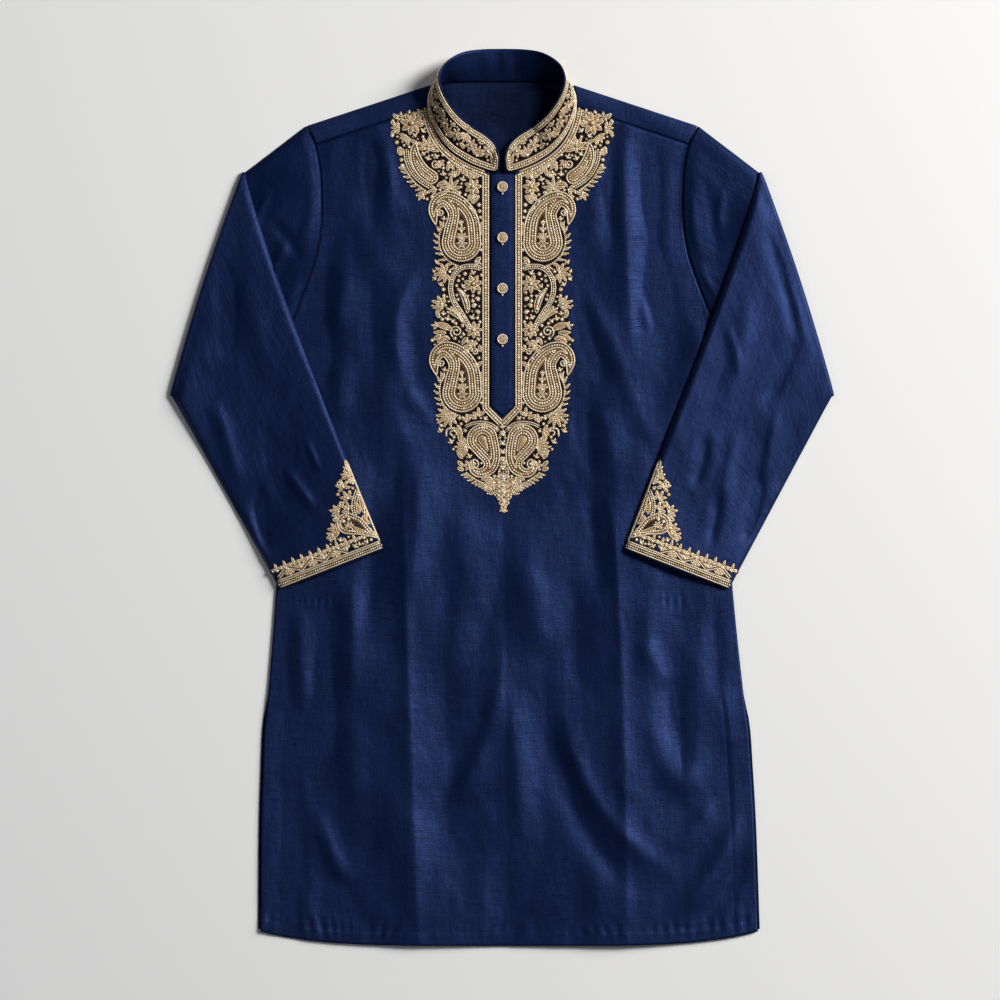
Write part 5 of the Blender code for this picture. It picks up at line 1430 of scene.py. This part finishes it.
class GoldWork:
    """Embroidery drawn flat as (x, y, height) in millimetres, before it is laid on the cloth."""

    # Slots, in the order of GOLD_FINISH
    CORD, BEAD, CORE, SHADE, PAD = range(5)

    def __init__(self, seed=1):
        self.points, self.uv, self.faces, self.slots, self.knots = [], [], [], [], []
        self.count = 0
        self.random = np.random.default_rng(seed)

    def add(self, points, faces, uv, slot):
        """Adds a part of one finish, whose faces number its own points."""
        self.points.append(points)
        self.uv.append(uv)
        self.faces += (np.asarray(faces) + self.count).tolist()
        self.slots += [slot] * len(faces)
        self.count += len(points)

    def lengthwise(self, path, across, rise, closed, slot):
        """Quads along a path, through the same row of offsets at each of its points."""
        tangent = np.roll(path, -1, 0) - np.roll(path, 1, 0) if closed else np.gradient(path, axis=0)
        tangent = tangent / np.maximum(np.linalg.norm(tangent, axis=1, keepdims=True), 1e-9)
        left = np.column_stack([-tangent[:, 1], tangent[:, 0]])
        flat = path[:, None, :] - across[..., None] * left[:, None, :]
        points = np.concatenate([flat, rise[..., None]], axis=2)
        rows, columns = rise.shape
        uv = np.stack(np.broadcast_arrays(run_along(path)[:, None], across), axis=2).reshape(-1, 2)
        cells = grid_cells(rows, columns)
        if closed:
            c = np.arange(columns - 1)
            last = (rows - 1) * columns
            cells = np.vstack([cells, np.column_stack([last + c, last + c + 1, c + 1, c])])
        self.add(points.reshape(-1, 3), cells, uv, slot)

    def cord(self, path, radius=0.8, base=0.35, closed=False, slot=CORD):
        """A couched cord, tapered at its ends."""
        path = evenly(path, 1.75, closed)
        size = np.full(len(path), radius)
        if not closed:
            size[0] = size[-1] = 0.35 * radius
        profile = FINE_CORD if radius < FINEST else FULL_CORD
        across, rise = (size[:, None] * np.array(row) for row in zip(*profile))
        self.lengthwise(path, across, base + rise, closed, slot)

    def beads(self, centres, radius=1.0, base=0.4):
        """Knots of about this radius, not quite alike or in line. Each is a row of x, y, base and radius."""
        centres = np.atleast_2d(np.asarray(centres, float))
        count = len(centres)
        size = radius * self.random.uniform(0.92, 1.08, count)
        centres = centres + self.random.uniform(-0.1, 0.1, (count, 2))
        self.knots.append(np.column_stack([centres, np.full(count, base), size]))

    def knot_ground(self):
        """Points spread over the ground that the knots cover."""
        knots = np.vstack(self.knots)
        rim = circle(0.0, 0.0, 1.0, KNOT["Sides"])
        spread = np.vstack([rim, KNOT["Shoulder Width"] * rim, [(0.0, 0.0)]])
        return (knots[:, None, :2] + knots[:, 3, None, None] * spread).reshape(-1, 2)

    def row(self, path, pitch=2.7, radius=1.2, base=0.4, closed=False):
        """A line of knots along a path."""
        self.beads(evenly(path, pitch, closed), radius, base)

    def pad(self, outline, height=0.6, slot=PAD, base=0.0):
        """A low cushion over a rounded outline."""
        outline = np.asarray(outline, float)
        centre = outline.mean(axis=0)
        n = len(outline)
        rings = [(1.0, -0.2), (0.9, 0.8 * height), (0.45, height)]
        flat = [centre + share * (outline - centre) for share, _ in rings]
        points = [np.column_stack([spots, np.full(n, base + rise)]) for spots, (_, rise) in zip(flat, rings)]
        points = np.vstack([*points, [(*centre, base + height)]])
        k, m = ring_pairs(n)
        quads = ring_cells(3, n)
        area = np.sum(outline[:, 0] * np.roll(outline[:, 1], -1) - np.roll(outline[:, 0], -1) * outline[:, 1])
        tops = np.column_stack([2 * n + k, 2 * n + m, np.full(n, 3 * n)])
        if area < 0:
            quads, tops = quads[:, ::-1], tops[:, ::-1]
        self.add(points, quads, points[:, :2], slot)
        self.faces += (tops + self.count - len(points)).tolist()
        self.slots += [slot] * n

    def ribbon(self, path, width, height=0.6, slot=PAD):
        """A low cushion along a path, of one width or of several along it."""
        path = evenly(path, 2.0)
        width = np.interp(np.linspace(0, 1, len(path)), np.linspace(0, 1, np.size(width)), np.ravel(width))
        across = 0.5 * width[:, None] * np.array([-1.0, -0.8, 0.0, 0.8, 1.0])
        rise = np.broadcast_to(height * np.array([-0.3, 0.8, 1.0, 0.8, -0.3]), across.shape)
        self.lengthwise(path, across, rise, False, slot)

    def strip(self, path, width=8.2, rows=1, thick=0.92):
        """A border of cords this thick, with rows of knots between them, over a dark ground that paints the
        shade round and between them.
        """
        self.ribbon(path, width + 2.4, 0.3)
        self.ribbon(path, width, 0.5, slot=self.SHADE)
        path = evenly(path, 1.0)
        left = left_of(path)
        half = 0.5 * width - thick
        for off in np.linspace(-half, half, rows + 1):
            self.cord(path + off * left, thick, 0.5)
        gap = 2 * half / rows
        for k in range(rows):
            middle = path + (-half + (k + 0.5) * gap) * left
            radius = min(0.5 * gap - thick - 0.35, 1.55)
            if radius > 0.5:
                self.row(middle, 3.0, radius, 0.5)

    def petal(self, x, y, angle, length, width):
        """A small leaf shape on a dark ground, which paints the shade round it: a cord round a long core."""
        t = np.linspace(0, 1, 10)
        width = max(width - 2 * PETAL_CORD, 1.2)
        half = 0.5 * width * np.sin(np.pi * t**0.85) ** 0.8
        side = np.concatenate([half, -half[-2:0:-1]])
        along = np.concatenate([length * t, length * t[-2:0:-1]])
        cos, sin = math.cos(angle), math.sin(angle)
        place = np.array((x, y))
        turned = np.array(((cos, sin), (-sin, cos)))
        outline = place + np.column_stack([along, side]) @ turned
        wider, longer = 1 + 2 * PETAL_GROUND / width, 1 + 2 * PETAL_GROUND / length
        ground = np.column_stack([(along - 0.5 * length) * longer + 0.5 * length, side * wider])
        self.pad(place + ground[::2] @ turned, PETAL_BASE)
        self.cord(outline, PETAL_CORD, PETAL_BASE, closed=True)
        reach = np.linspace(0.16, 0.86, 6)[:, None] * length
        core = place + np.hstack([reach, 0 * reach]) @ turned
        swelling = np.array((0.5, 0.9, 1.0, 0.95, 0.7, 0.3))
        self.ribbon(core, swelling * max(width - 0.4, 0.9), CORE_RISE, slot=self.CORE)

    def flower(self, x, y, radius, petals, turn):
        """Petals round a raised knot."""
        for k in range(petals):
            a = turn + 2 * math.pi * k / petals
            start = 0.2 * radius
            width = min(5.0 * radius / petals - 0.8, 0.5 * radius)
            self.petal(x + start * math.cos(a), y + start * math.sin(a), a, 0.8 * radius, width)
        self.pad(circle(x, y, 0.3 * radius, 12), 1.3)
        self.beads([(x, y)], 0.24 * radius, 1.0)

    def palmette(self, x, y, angle, radius, petals=5, spread=150.0):
        """Pointed petals fanned out from one place, with a bead where they meet."""
        for k, off in enumerate(np.linspace(-0.5, 0.5, petals)):
            a = math.radians(angle + spread * off)
            length = radius * (1.0 - 0.4 * abs(off))
            width = min(0.75 * radius * math.radians(spread) / petals, 0.4 * radius, 4.2)
            self.petal(x + 0.1 * radius * math.cos(a), y + 0.1 * radius * math.sin(a), a, 0.9 * length, width)
        self.beads([(x, y)], 1.5, 0.8)

    def leaf(self, x0, y0, x1, y1, width, bend=0.0):
        """A long leaf along a bent midrib: a dark ground that paints the shade round it, a cord round it and
        a core.
        """
        start, end = np.array((x0, y0)), np.array((x1, y1))
        run = end - start
        off = np.array((-run[1], run[0])) * bend
        t = np.linspace(0, 1, 14)[:, None]
        path = start + run * t + off * 4 * t * (1 - t)
        left = left_of(path)
        half = 0.5 * width * np.sin(np.pi * t**0.8) ** 0.8
        self.ribbon(path, 2 * half[:, 0] + 2 * PETAL_GROUND, PETAL_BASE)
        outline = np.vstack([path + left * half, (path - left * half)[-2:0:-1]])
        self.cord(outline, PETAL_CORD, PETAL_BASE, closed=True)
        inner = path[2:-2]
        if width > 5.4:
            self.row(inner, 2.9, 0.5 * width - 1.5, 0.6)
        else:
            self.ribbon(inner, np.maximum(2 * half[2:-2, 0] - 0.7, 0.8), CORE_RISE, slot=self.CORE)

    def scroll(self, x, y, radius, start, turns, way):
        """A cord wound inwards to a quarter of its radius, ending in a bead."""
        t = np.linspace(0, 1, 36)
        a = math.radians(start) + way * 2 * math.pi * turns * t
        r = radius * (1 - 0.75 * t)
        path = np.column_stack([x + r * np.cos(a), y + r * np.sin(a)])
        # Dark ground that paints the shade round the scroll
        self.ribbon(path, 4.6, 0.4)
        self.cord(path, 0.95, 0.4)
        self.beads([path[-1]], 1.5, 0.6)

    def vine(self, points, width):
        """A stem between two cords on a dark ground that paints the shade round it, with as many rows of
        beads as fit.
        """
        path = smooth_curve(points, 60)
        self.ribbon(path, width + 1.6, 0.5)
        left = left_of(path)
        if width < 3.0:
            self.cord(path, 0.5 * width, 0.4)
            return
        for sign in (-1, 1):
            self.cord(path + sign * (0.5 * width - 0.5) * left, 0.75, 0.4)
        rows = max(int((width - 3.0) / 2.4), 1) if width > 4.4 else 0
        for off in (np.arange(rows) - 0.5 * (rows - 1)) * 2.6:
            self.row(path + off * left, 2.8, min(1.3, 0.5 * width - 1.55), 0.55)

    def knot(self, x, y, radius):
        """A raised dot: a ring of cord round a bead on a dark ground that paints the shade round it."""
        self.pad(circle(x, y, radius + 1.5, 12), 0.5)
        self.cord(circle(x, y, radius - 0.5, 14), 0.75, 0.4, closed=True)
        self.beads([(x, y)], 0.55 * radius, 0.7)

    def fringe(self, path, petals):
        """A thin stem with a row of leaning leaves along its outer side."""
        curve = smooth_curve(path, 60)
        # Dark ground that paints the shade round the stem and its leaves
        self.ribbon(curve, 4.6, 0.5)
        tangent = np.gradient(curve, axis=0)
        for k in np.linspace(2, 56, petals).astype(int):
            tx, ty = tangent[k] / np.linalg.norm(tangent[k])
            angle = math.atan2(tx, -ty) + FRINGE_LEAN
            x, y = curve[k] + 0.4 * np.array((-ty, tx))
            self.petal(x, y, angle, 6.6, 3.4)
            self.beads([(x + 7.2 * math.cos(angle), y + 7.2 * math.sin(angle))], 1.1, 0.5)
        self.row(curve, 2.7, 1.25, 0.6)

    def comma_loop(self, rows, inset):
        """Closed outline of a comma, given as a middle line with its radius, drawn in by inset."""
        curve = smooth_curve(rows, 80)
        middle, radius = curve[:, :2], curve[:, 2] - inset
        small = np.flatnonzero(radius <= 0.1)
        last = small[0] if len(small) else len(radius)
        middle, radius = middle[:last], radius[:last, None]
        left = left_of(middle)
        first = math.atan2(left[0, 1], left[0, 0])
        a = np.linspace(first, first + math.pi, 22)[1:-1]
        cap = middle[0] + radius[0] * np.column_stack([np.cos(a), np.sin(a)])
        return np.vstack([(middle + left * radius)[::-1], cap, middle - left * radius])

    def comma_pad(self, rows, height, slot):
        """A cushion in the shape of a comma."""
        curve = smooth_curve(rows, 40)
        self.ribbon(curve[:, :2], 2 * curve[:, 2], height, slot=slot)
        self.pad(circle(*curve[0], 28), 0.97 * height, slot)

    def paisley(self, rows, count=5, core=None):
        """A comma of nested cords and rows of beads, by turns, round an open heart, on a dark ground that
        paints the shade round and between them.
        """
        rows = np.asarray(rows, float)
        self.comma_pad(rows + (0.0, 0.0, 1.2), 0.25, self.PAD)
        self.comma_pad(rows - (0.0, 0.0, 0.3), 0.4, self.SHADE)
        for k in range(count):
            loop = self.comma_loop(rows, ROW_CORD + k * ROW_STEP)
            if k % 2 == 0:
                self.cord(loop, ROW_CORD, 0.6, closed=True)
            else:
                self.row(loop, 3.0, ROW_BEAD, 0.6, closed=True)
        inset = ROW_CORD + (count - 0.4) * ROW_STEP
        heart = evenly(self.comma_loop(rows, inset), 2.0, closed=True)
        self.pad(heart, 0.62)
        if core:
            leaf = evenly(self.comma_loop(rows, inset + core), 1.6, closed=True)
            self.pad(leaf, 1.5, slot=self.CORE)
            self.cord(leaf, PETAL_CORD, 1.0, closed=True)

    def fill_gaps(self, outline, pitch, seed):
        """Knots and small sprigs wherever the ground between the motifs is still bare."""
        random = np.random.default_rng(seed)
        taken = np.vstack([np.vstack(self.points)[:, :2], self.knot_ground()])
        tree = KDTree(len(taken))
        for k, (x, y) in enumerate(taken.tolist()):
            tree.insert((x, y, 0.0), k)
        tree.balance()
        bounds = np.array(outline)
        low, high = bounds.min(axis=0), bounds.max(axis=0)
        xs, ys = np.meshgrid(np.arange(low[0], high[0], pitch), np.arange(low[1], high[1], pitch))
        spots = np.column_stack([xs.ravel(), ys.ravel()]) + random.uniform(-0.4, 0.4, (xs.size, 2)) * pitch
        spots = spots[inside_outline(spots, bounds)]
        room = np.array([tree.find((x, y, 0.0))[2] for x, y in spots.tolist()])
        placed = []
        for k in np.argsort(-room):
            spot, space = spots[k], room[k]
            if placed:
                away = np.linalg.norm(np.array(placed)[:, :2] - spot, axis=1) - np.array(placed)[:, 2]
                space = min(space, away.min())
            if space < FILL_LEAST:
                continue
            size = min(space - 0.3, FILL_MOST)
            if size > 1.9:
                self.palmette(*(spot - (0.0, 0.4 * size)), random.uniform(40, 140), 1.7 * size, 3, 130)
            else:
                self.knot(*spot, size)
            placed.append((*spot, size + 0.4))

    def lay(self, name, place, mirror=1):
        """Turns the drawing into one object, with each point put where place says, which may mirror it."""
        knots = np.vstack(self.knots)
        points = np.vstack([*self.points, knots[:, :3]])
        uv = np.vstack([*self.uv, knots[:, :2]])
        made = make_object(name, points, self.faces, uv, self.slots)
        for finish in GOLD_FINISH:
            made.data.materials.append(finish)
        for label, values in zip(KNOT_CARRIES, (knots[:, 3] * MM, knots[:, 0], knots[:, 1])):
            carry(made.data, label, np.concatenate([np.zeros(self.count), values]))
        grow(made, KNOT_TREE, KNOT)
        mesh = made.data
        for label in KNOT_CARRIES:
            mesh.attributes.remove(mesh.attributes[label])
        flat = np.empty(3 * len(mesh.vertices))
        mesh.vertices.foreach_get("co", flat)
        mesh.vertices.foreach_set("co", (place(flat.reshape(-1, 3) / MM) * MM).ravel())
        if mirror < 0:
            mesh.flip_normals()
        mesh.update()
        return made


def mirrored(work):
    """The same drawing on both sides of the middle line."""
    count = work.count
    points = np.vstack(work.points)
    work.points = [points, points * (-1, 1, 1)]
    work.knots = work.knots + [rows * (-1, 1, 1, 1) for rows in work.knots]
    work.uv = work.uv + work.uv
    work.faces = work.faces + [[i + count for i in face[::-1]] for face in work.faces]
    work.slots = work.slots + work.slots
    work.count = 2 * count
    return work


def dropped_on(tree):
    """Lays flat work on a surface by dropping it straight down."""

    def place(points):
        made = points.copy()
        x = points[:, 0] + drift(points[:, 1])
        made[:, 0] = x
        down = Vector((0, 0, -1))
        found = FRONT_TOP
        for k, (px, py) in enumerate(zip(x.tolist(), points[:, 1].tolist())):
            hit = tree.ray_cast(Vector((px, py, 200.0)), down)[0]
            found = hit.z if hit is not None else found
            made[k, 2] += found
        return made

    return place


def add_motifs(work, palmettes=(), leaves=(), scrolls=(), flowers=(), beads=()):
    """Draws what the tables of motifs list."""
    for x, y, angle, radius, petals, spread in palmettes:
        work.palmette(x, y, angle, radius, petals, spread)
    for x0, y0, x1, y1, width, bend in leaves:
        work.leaf(x0, y0, x1, y1, width, bend)
    for x, y, radius, start, turns, way in scrolls:
        work.scroll(x, y, radius, start, turns, way)
    for x, y, radius, petals, turn in flowers:
        work.flower(x, y, radius, petals, math.radians(turn))
    for x, y, radius in beads:
        work.knot(x, y, radius)


def make_chest_embroidery(tree):
    """Drawn for the wearer's left half, mirrored, and closed along the middle by the centre motifs."""
    work = GoldWork(seed=7)
    work.strip(smooth_curve(NECK_BORDER, 60), 8.2)
    work.strip(PLACKET_BORDER, 8.0)
    shift = np.array((*PAISLEY_DROP, 0.0))
    for lower in (0, 1):
        work.paisley(np.array(PAISLEY) + lower * shift)
    work.paisley(SMALL_PAISLEY, 4, core=1.5)
    work.paisley(WING, 2, core=0.5)
    for path, width in VINES:
        work.vine(path, width)
    for path, petals in FRINGES:
        work.fringe(path, petals)
    add_motifs(work, PALMETTES, LEAVES, SCROLLS, FLOWERS, BEADS)
    work.fill_gaps(CHEST_OUTLINE, FILL_PITCH, 5)
    work = mirrored(work)
    leaves = []
    for x0, y0, x1, y1, width, bend in CENTRE_LEAVES:
        leaves.append((x0, y0, x1, y1, width, bend))
        leaves.append((2 * CENTRE_X - x0, y0, 2 * CENTRE_X - x1, y1, width, -bend))
    add_motifs(work, CENTRE_PALMETTES, [*leaves, END_LEAF])
    work.pad(circle(*CENTRE_PAD, 20), 0.9)
    work.cord(circle(*CENTRE_PAD, 20), 0.7, 0.5, closed=True)
    work.knot(*CENTRE_BEAD)
    made = work.lay("chest_embroidery_gold", dropped_on(tree))
    return finish_piece(made, GOLD_FINISH, "gold_thread", "chest_embroidery")


def make_cuff_embroidery(name, side, tree):
    """A border round the cuff, a row of small sprigs over it and a spray up the inner crease."""
    work = GoldWork(seed=11)
    # Dark ground under the border, painting the shade round it
    work.ribbon(CUFF_BORDER, 11.6, 0.3)
    for off in CUFF_CORDS:
        work.cord(np.add(CUFF_BORDER, (0.0, off)), 0.85, 0.4)
    work.row(np.add(CUFF_BORDER, (0.0, CUFF_ROW)), 2.7, 1.12, 0.4)
    low, high = CUFF_ZIGZAG_ROWS
    turns = np.arange(CUFF_LENGTH - 4.0, 30.0, -0.5 * CUFF_ZIGZAG_PITCH)
    zigzag = np.column_stack([turns, np.where(np.arange(len(turns)) % 2, high, low)])
    work.strip(evenly(zigzag, 1.2), 4.2, thick=0.66)
    for a, b in zigzag[1:]:
        if b == high:
            work.palmette(a, low - 0.5, 90, 8.0, 5, 140)
        else:
            work.palmette(a, low + 3.4, 90, 7.0, 3, 110)
    for a in np.arange(6.0, CUFF_LENGTH - 3.0, CUFF_PITCH):
        work.palmette(a, high - 0.6, 90, 9.0, 3, 120)
        work.knot(a + 0.5 * CUFF_PITCH, high + 0.6, 1.7)
    work.paisley(CUFF_PAISLEY, 2)
    for path, width in CUFF_VINES:
        work.vine(path, width)
    add_motifs(work, CUFF_PALMETTES, CUFF_LEAVES, CUFF_SCROLLS, beads=CUFF_BEADS)
    work.fill_gaps(CUFF_OUTLINE, FILL_PITCH, 9)
    along = np.subtract(CUFF_OUTER, CUFF_INNER) / CUFF_LENGTH
    up = np.array((-along[1], along[0]))
    drop = dropped_on(tree)

    def place(points):
        across = np.maximum(points[:, :1], CUFF_EDGE) + CUFF_LEAN * points[:, 1:2]
        flat = np.array(CUFF_INNER) + across * along + points[:, 1:2] * up
        return drop(np.column_stack([side * flat[:, 0], flat[:, 1], points[:, 2]]))

    made = work.lay(f"cuff_embroidery_{name}_gold", place, side)
    return finish_piece(made, GOLD_FINISH, "gold_thread", f"cuff_embroidery_{name}")


def make_collar_embroidery(name, side, grid, normals, along):
    """Borders along the foot, front end and edge of one half of the band, with sprigs between them."""
    length = 0.5 * along[-1] - 0.6
    inset = 0.5 * COLLAR_STRIP + 1.2
    a = np.linspace(0.0, length, 60)
    edge = np.vstack([(0.0, 0.0), (0.0, 0.5 * band_top(0.0)), np.column_stack([a, band_top(a)])])
    edge = evenly(edge, 2.0)
    inner = edge - inset * left_of(edge)
    inner = inner[inner[:, 1] > inset + 1.0]
    work = GoldWork(seed=13)
    middle = 0.5 * BAND_HEIGHT
    work.strip(np.vstack([(length, inset), (inset + 1.0, inset), inner]), COLLAR_STRIP, thick=0.8)
    for k, a in enumerate(np.arange(19.0, length - 6.0, COLLAR_SPRIG_PITCH)):
        way = (-1) ** k
        work.flower(a, middle + way, 7.6, 6, math.radians(25.0 * way))
        between = a + 0.5 * COLLAR_SPRIG_PITCH
        work.palmette(between, middle - 8.0 * way, 90 * way, 11.0, 5, 130)
        work.leaf(between - 4.6, middle + 8.0 * way, between + 3.0, middle + 5.0 * way, 3.6, 0.1)
        work.knot(between + 5.0, middle + 7.6 * way, 1.5)
    work.leaf(9.5, 9.5, 13.0, 17.5, 3.6, 0.1)
    field = [(9.0, 8.6), (length - 8.0, 8.6), (length - 8.0, 30.2), (50.0, 30.2), (16.0, 24.0)]
    work.fill_gaps(field, 1.3, 4)

    def place(points):
        from_end = np.clip(points[:, 0], 0.0, along[-1])
        a = from_end if side > 0 else along[-1] - from_end
        rows = np.interp(a, along, np.arange(len(along)))
        columns = np.clip(points[:, 1] / band_top(from_end), 0.0, 1.0) * (grid.shape[1] - 1)
        outwards = read_at(normals, rows, columns) * (0.5 * BAND_WALL + points[:, 2:3])
        return read_at(grid, rows, columns) + outwards

    made = work.lay(f"collar_embroidery_{name}_gold", place, side)
    return finish_piece(made, GOLD_FINISH, "gold_thread", f"collar_embroidery_{name}")


# ---------------------------------------------------------------- piping, buttons and stitches


def lathe(profile, around=40):
    """Points and faces of a turned shape from (radius, height) rows that start and end on its axis."""
    angles = np.arange(around) * 2 * math.pi / around
    rows = np.array(profile[1:-1])
    ring = np.column_stack([np.cos(angles), np.sin(angles)])
    body = np.concatenate([np.column_stack([r * ring, np.full(around, z)]) for r, z in rows])
    points = np.vstack([body, [(0, 0, profile[0][1]), (0, 0, profile[-1][1])]])
    pairs = np.column_stack(ring_pairs(around)).tolist()
    last = (len(rows) - 1) * around
    first_fan = [[len(body), b, a] for a, b in pairs]
    last_fan = [[a + last, b + last, len(body) + 1] for a, b in pairs]
    return points, ring_cells(len(rows), around).tolist() + first_fan + last_fan


def ball(x, y, z, radius):
    """A small round bead of metal."""
    turns = np.linspace(-0.5 * math.pi, 0.5 * math.pi, 7)
    points, faces = lathe([(radius * math.cos(t), radius * math.sin(t)) for t in turns], 12)
    return points + (x, y, z), faces


def joined(parts):
    """Several (points, faces) parts as one."""
    points, faces, count = [], [], 0
    for some, cells in parts:
        points.append(some)
        faces += [[i + count for i in cell] for cell in cells]
        count += len(some)
    return np.vstack(points), faces


def make_button(number, base):
    """A flat shank button: a rim round a dark hollow, rings of grains in it, and a small bead below."""
    parts = [lathe(BUTTON_PROFILE), lathe(BUTTON_HOLLOW)]
    dark = len(parts[0][1]), len(parts[0][1]) + len(parts[1][1])
    for count, radius, height, size in BUTTON_GRAINS:
        for k in range(count):
            a = 2 * math.pi * (k + 0.5) / count
            parts.append(ball(radius * math.cos(a), radius * math.sin(a), height, size))
    parts.append(ball(0.0, -BUTTON_DROP, 1.2, 1.25))
    parts.append(tube([(0.0, -5.2, 1.0), (0.0, -6.2, 1.0), (0.0, -7.4, 1.0)], 0.4, 6))
    points, faces = joined(parts)
    points = points + (STRIP_OFFSET, BUTTON_FIRST_Y - (number - 1) * BUTTON_PITCH, base)
    slots = [int(dark[0] <= k < dark[1]) for k in range(len(faces))]
    made = make_object(f"button_{number}_metal", points, faces, slots=slots)
    return finish_piece(made, [METAL, METAL_HOLLOW], "gold_metal", f"button_{number}")


def stitch_tree():
    """A running stitch, a low arch of round thread, in every pitch along each line, except past its end."""
    tree, sizes = new_tree("running_stitches", STITCH)
    half = node(tree, MATH, (sizes["Length"], 0.5), **TIMES)
    raised = node(tree, MATH, (sizes["Rise"], 2.0), **TIMES)
    middle = node(tree, "ShaderNodeCombineXYZ", {"X": half, "Z": raised})
    end = node(tree, "ShaderNodeCombineXYZ", {"X": sizes["Length"]})
    arch = {"Resolution": 2, "Start": (0.0, 0.0, 0.0), "Middle": middle, "End": end}
    arch = node(tree, "GeometryNodeCurveQuadraticBezier", arch)
    section = node(tree, "GeometryNodeCurvePrimitiveCircle", {"Resolution": 5, "Radius": sizes["Thickness"]})
    stitch = {"Curve": arch, "Profile Curve": section, "Fill Caps": True}
    stitch = node(tree, "GeometryNodeCurveToMesh", stitch)
    line = node(tree, "GeometryNodeMeshToCurve", {"Mesh": sizes["Geometry"]})
    line = node(tree, "GeometryNodeResampleCurve", {"Curve": line, "Length": sizes["Pitch"]}, mode="LENGTH")
    ahead = node(tree, "GeometryNodeInputTangent")
    turned = node(tree, "FunctionNodeAlignRotationToVector", {"Vector": ahead}, axis="X")
    share = node(tree, "GeometryNodeSplineParameter")
    before_end = node(tree, "FunctionNodeCompare", {"A": share, "B": 0.999}, operation="LESS_THAN")
    sewn = {"Points": line, "Instance": stitch, "Selection": before_end, "Rotation": turned}
    sewn = node(tree, "GeometryNodeInstanceOnPoints", sewn)
    for kind in ("GeometryNodeRealizeInstances", "GeometryNodeSetShadeSmooth"):
        sewn = node(tree, kind, {"Geometry": sewn})
    sewn = node(tree, "GeometryNodeSetMaterial", {"Geometry": sewn, "Material": SILK})
    node(tree, "NodeGroupOutput", {"Geometry": sewn})
    return tree


def make_stitches(tree):
    """Running stitches of navy thread, along the hem and the slits."""
    xs = np.linspace(-276.0, 276.0, 140)
    ys = np.linspace(HEM_CORNER_Y + HEM_DEPTH, SLIT_TOP_Y, 60)
    lines = [np.column_stack([xs, hem_y(xs) + HEM_DEPTH])]
    lines += [np.column_stack([side * (side_x(ys) - SLIT_HEM), ys]) for side in (-1, 1)]
    place = dropped_on(tree)
    points, edges = [], []
    for line in lines:
        start = len(points)
        line = evenly(line, 1.6)
        points += place(np.column_stack([line, np.full(len(line), STITCH_LIFT)])).tolist()
        edges += [(k, k + 1) for k in range(start, len(points) - 1)]
    made = make_object("stitches_thread", points, [], edges=edges)
    grow(made, stitch_tree(), STITCH)
    return finish_piece(made, [SILK], "silk")


# ---------------------------------------------------------------- floor, light and camera


def make_floor():
    """A plain pale floor, just below the cloth so that the two don't flicker."""
    corners = ((-1, -1), (1, -1), (1, 1), (-1, 1))
    mesh = bpy.data.meshes.new("floor")
    mesh.from_pydata([(FLOOR_HALF * x, FLOOR_HALF * y, -FLOOR_GAP) for x, y in corners], [], [(0, 1, 2, 3)])
    floor = bpy.data.objects.new("floor", mesh)
    bpy.context.scene.collection.objects.link(floor)
    mesh.materials.append(floor_material())


def make_light(name, place, size, power, colour, seen_in_gloss):
    """A round soft light that faces the middle of the garment."""
    light = bpy.data.lights.new(name, "AREA")
    light.shape = "DISK"
    light.size = size
    light.energy = power
    light.color = linear(colour)[:3]
    placed = bpy.data.objects.new(name, light)
    placed.location = place
    placed.rotation_euler = (-Vector(place)).to_track_quat("-Z", "Y").to_euler()
    placed.visible_glossy = seen_in_gloss
    bpy.context.scene.collection.objects.link(placed)


def make_surroundings():
    """Soft studio light from the upper right, a faint fill, a dim even sky and a camera straight above."""
    make_floor()
    make_light("key_light", (4.7, 2.5, 4.65), 2.4, 480.0, "fffefd", True)
    make_light("low_light", (4.6, 2.5, 2.5), 1.8, 152.0, "fffdfb", False)
    make_light("fill_light", (-2.6, -0.4, 2.6), 2.0, 12.0, "f2f5ff", False)
    world = bpy.data.worlds.new("studio")
    world.use_nodes = True
    world.node_tree.nodes["Background"].inputs["Color"].default_value = linear("e9edf4")
    world.node_tree.nodes["Background"].inputs["Strength"].default_value = 0.08
    bpy.context.scene.world = world
    bpy.context.scene.view_settings.view_transform = "Standard"
    camera = bpy.data.cameras.new("camera")
    camera.sensor_width = 36.0
    camera.lens = 200.0
    camera.clip_end = 50.0
    above = FRAME_WIDTH * camera.lens / camera.sensor_width
    placed = bpy.data.objects.new("camera", camera)
    placed.location = (*FRAME_CENTRE, above)
    bpy.context.scene.collection.objects.link(placed)
    bpy.context.scene.camera = placed


# ---------------------------------------------------------------- the garment

make_back_panel()
front_points, front_cells = make_front_panel()
front_tree = surface_tree(front_points, front_cells)
make_yoke("left", 1)
make_yoke("right", -1)
band, band_normals, band_along = make_collar()
make_placket("placket_under", SLOT_HALF - SEAM_GAP, 0.0, FRONT_TOP - UNDER_THICK, UNDER_THICK, 0.0)
make_placket("placket_strip", STRIP_HALF, STRIP_OFFSET, STRIP_LOW, CLOTH, STRIP_CROWN)
for button_number in range(1, BUTTON_COUNT + 1):
    make_button(button_number, STRIP_LOW + CLOTH + STRIP_CROWN)
make_chest_embroidery(front_tree)
for half_name, half_side, half_folds in (("left", 1, LEFT_SLEEVE_FOLDS), ("right", -1, RIGHT_SLEEVE_FOLDS)):
    make_collar_embroidery(half_name, half_side, band, band_normals, band_along)
    sleeve_top = make_sleeve(half_name, half_side, half_folds)
    make_cuff_embroidery(half_name, half_side, surface_tree(*sleeve_top))
make_stitches(front_tree)
make_surroundings()
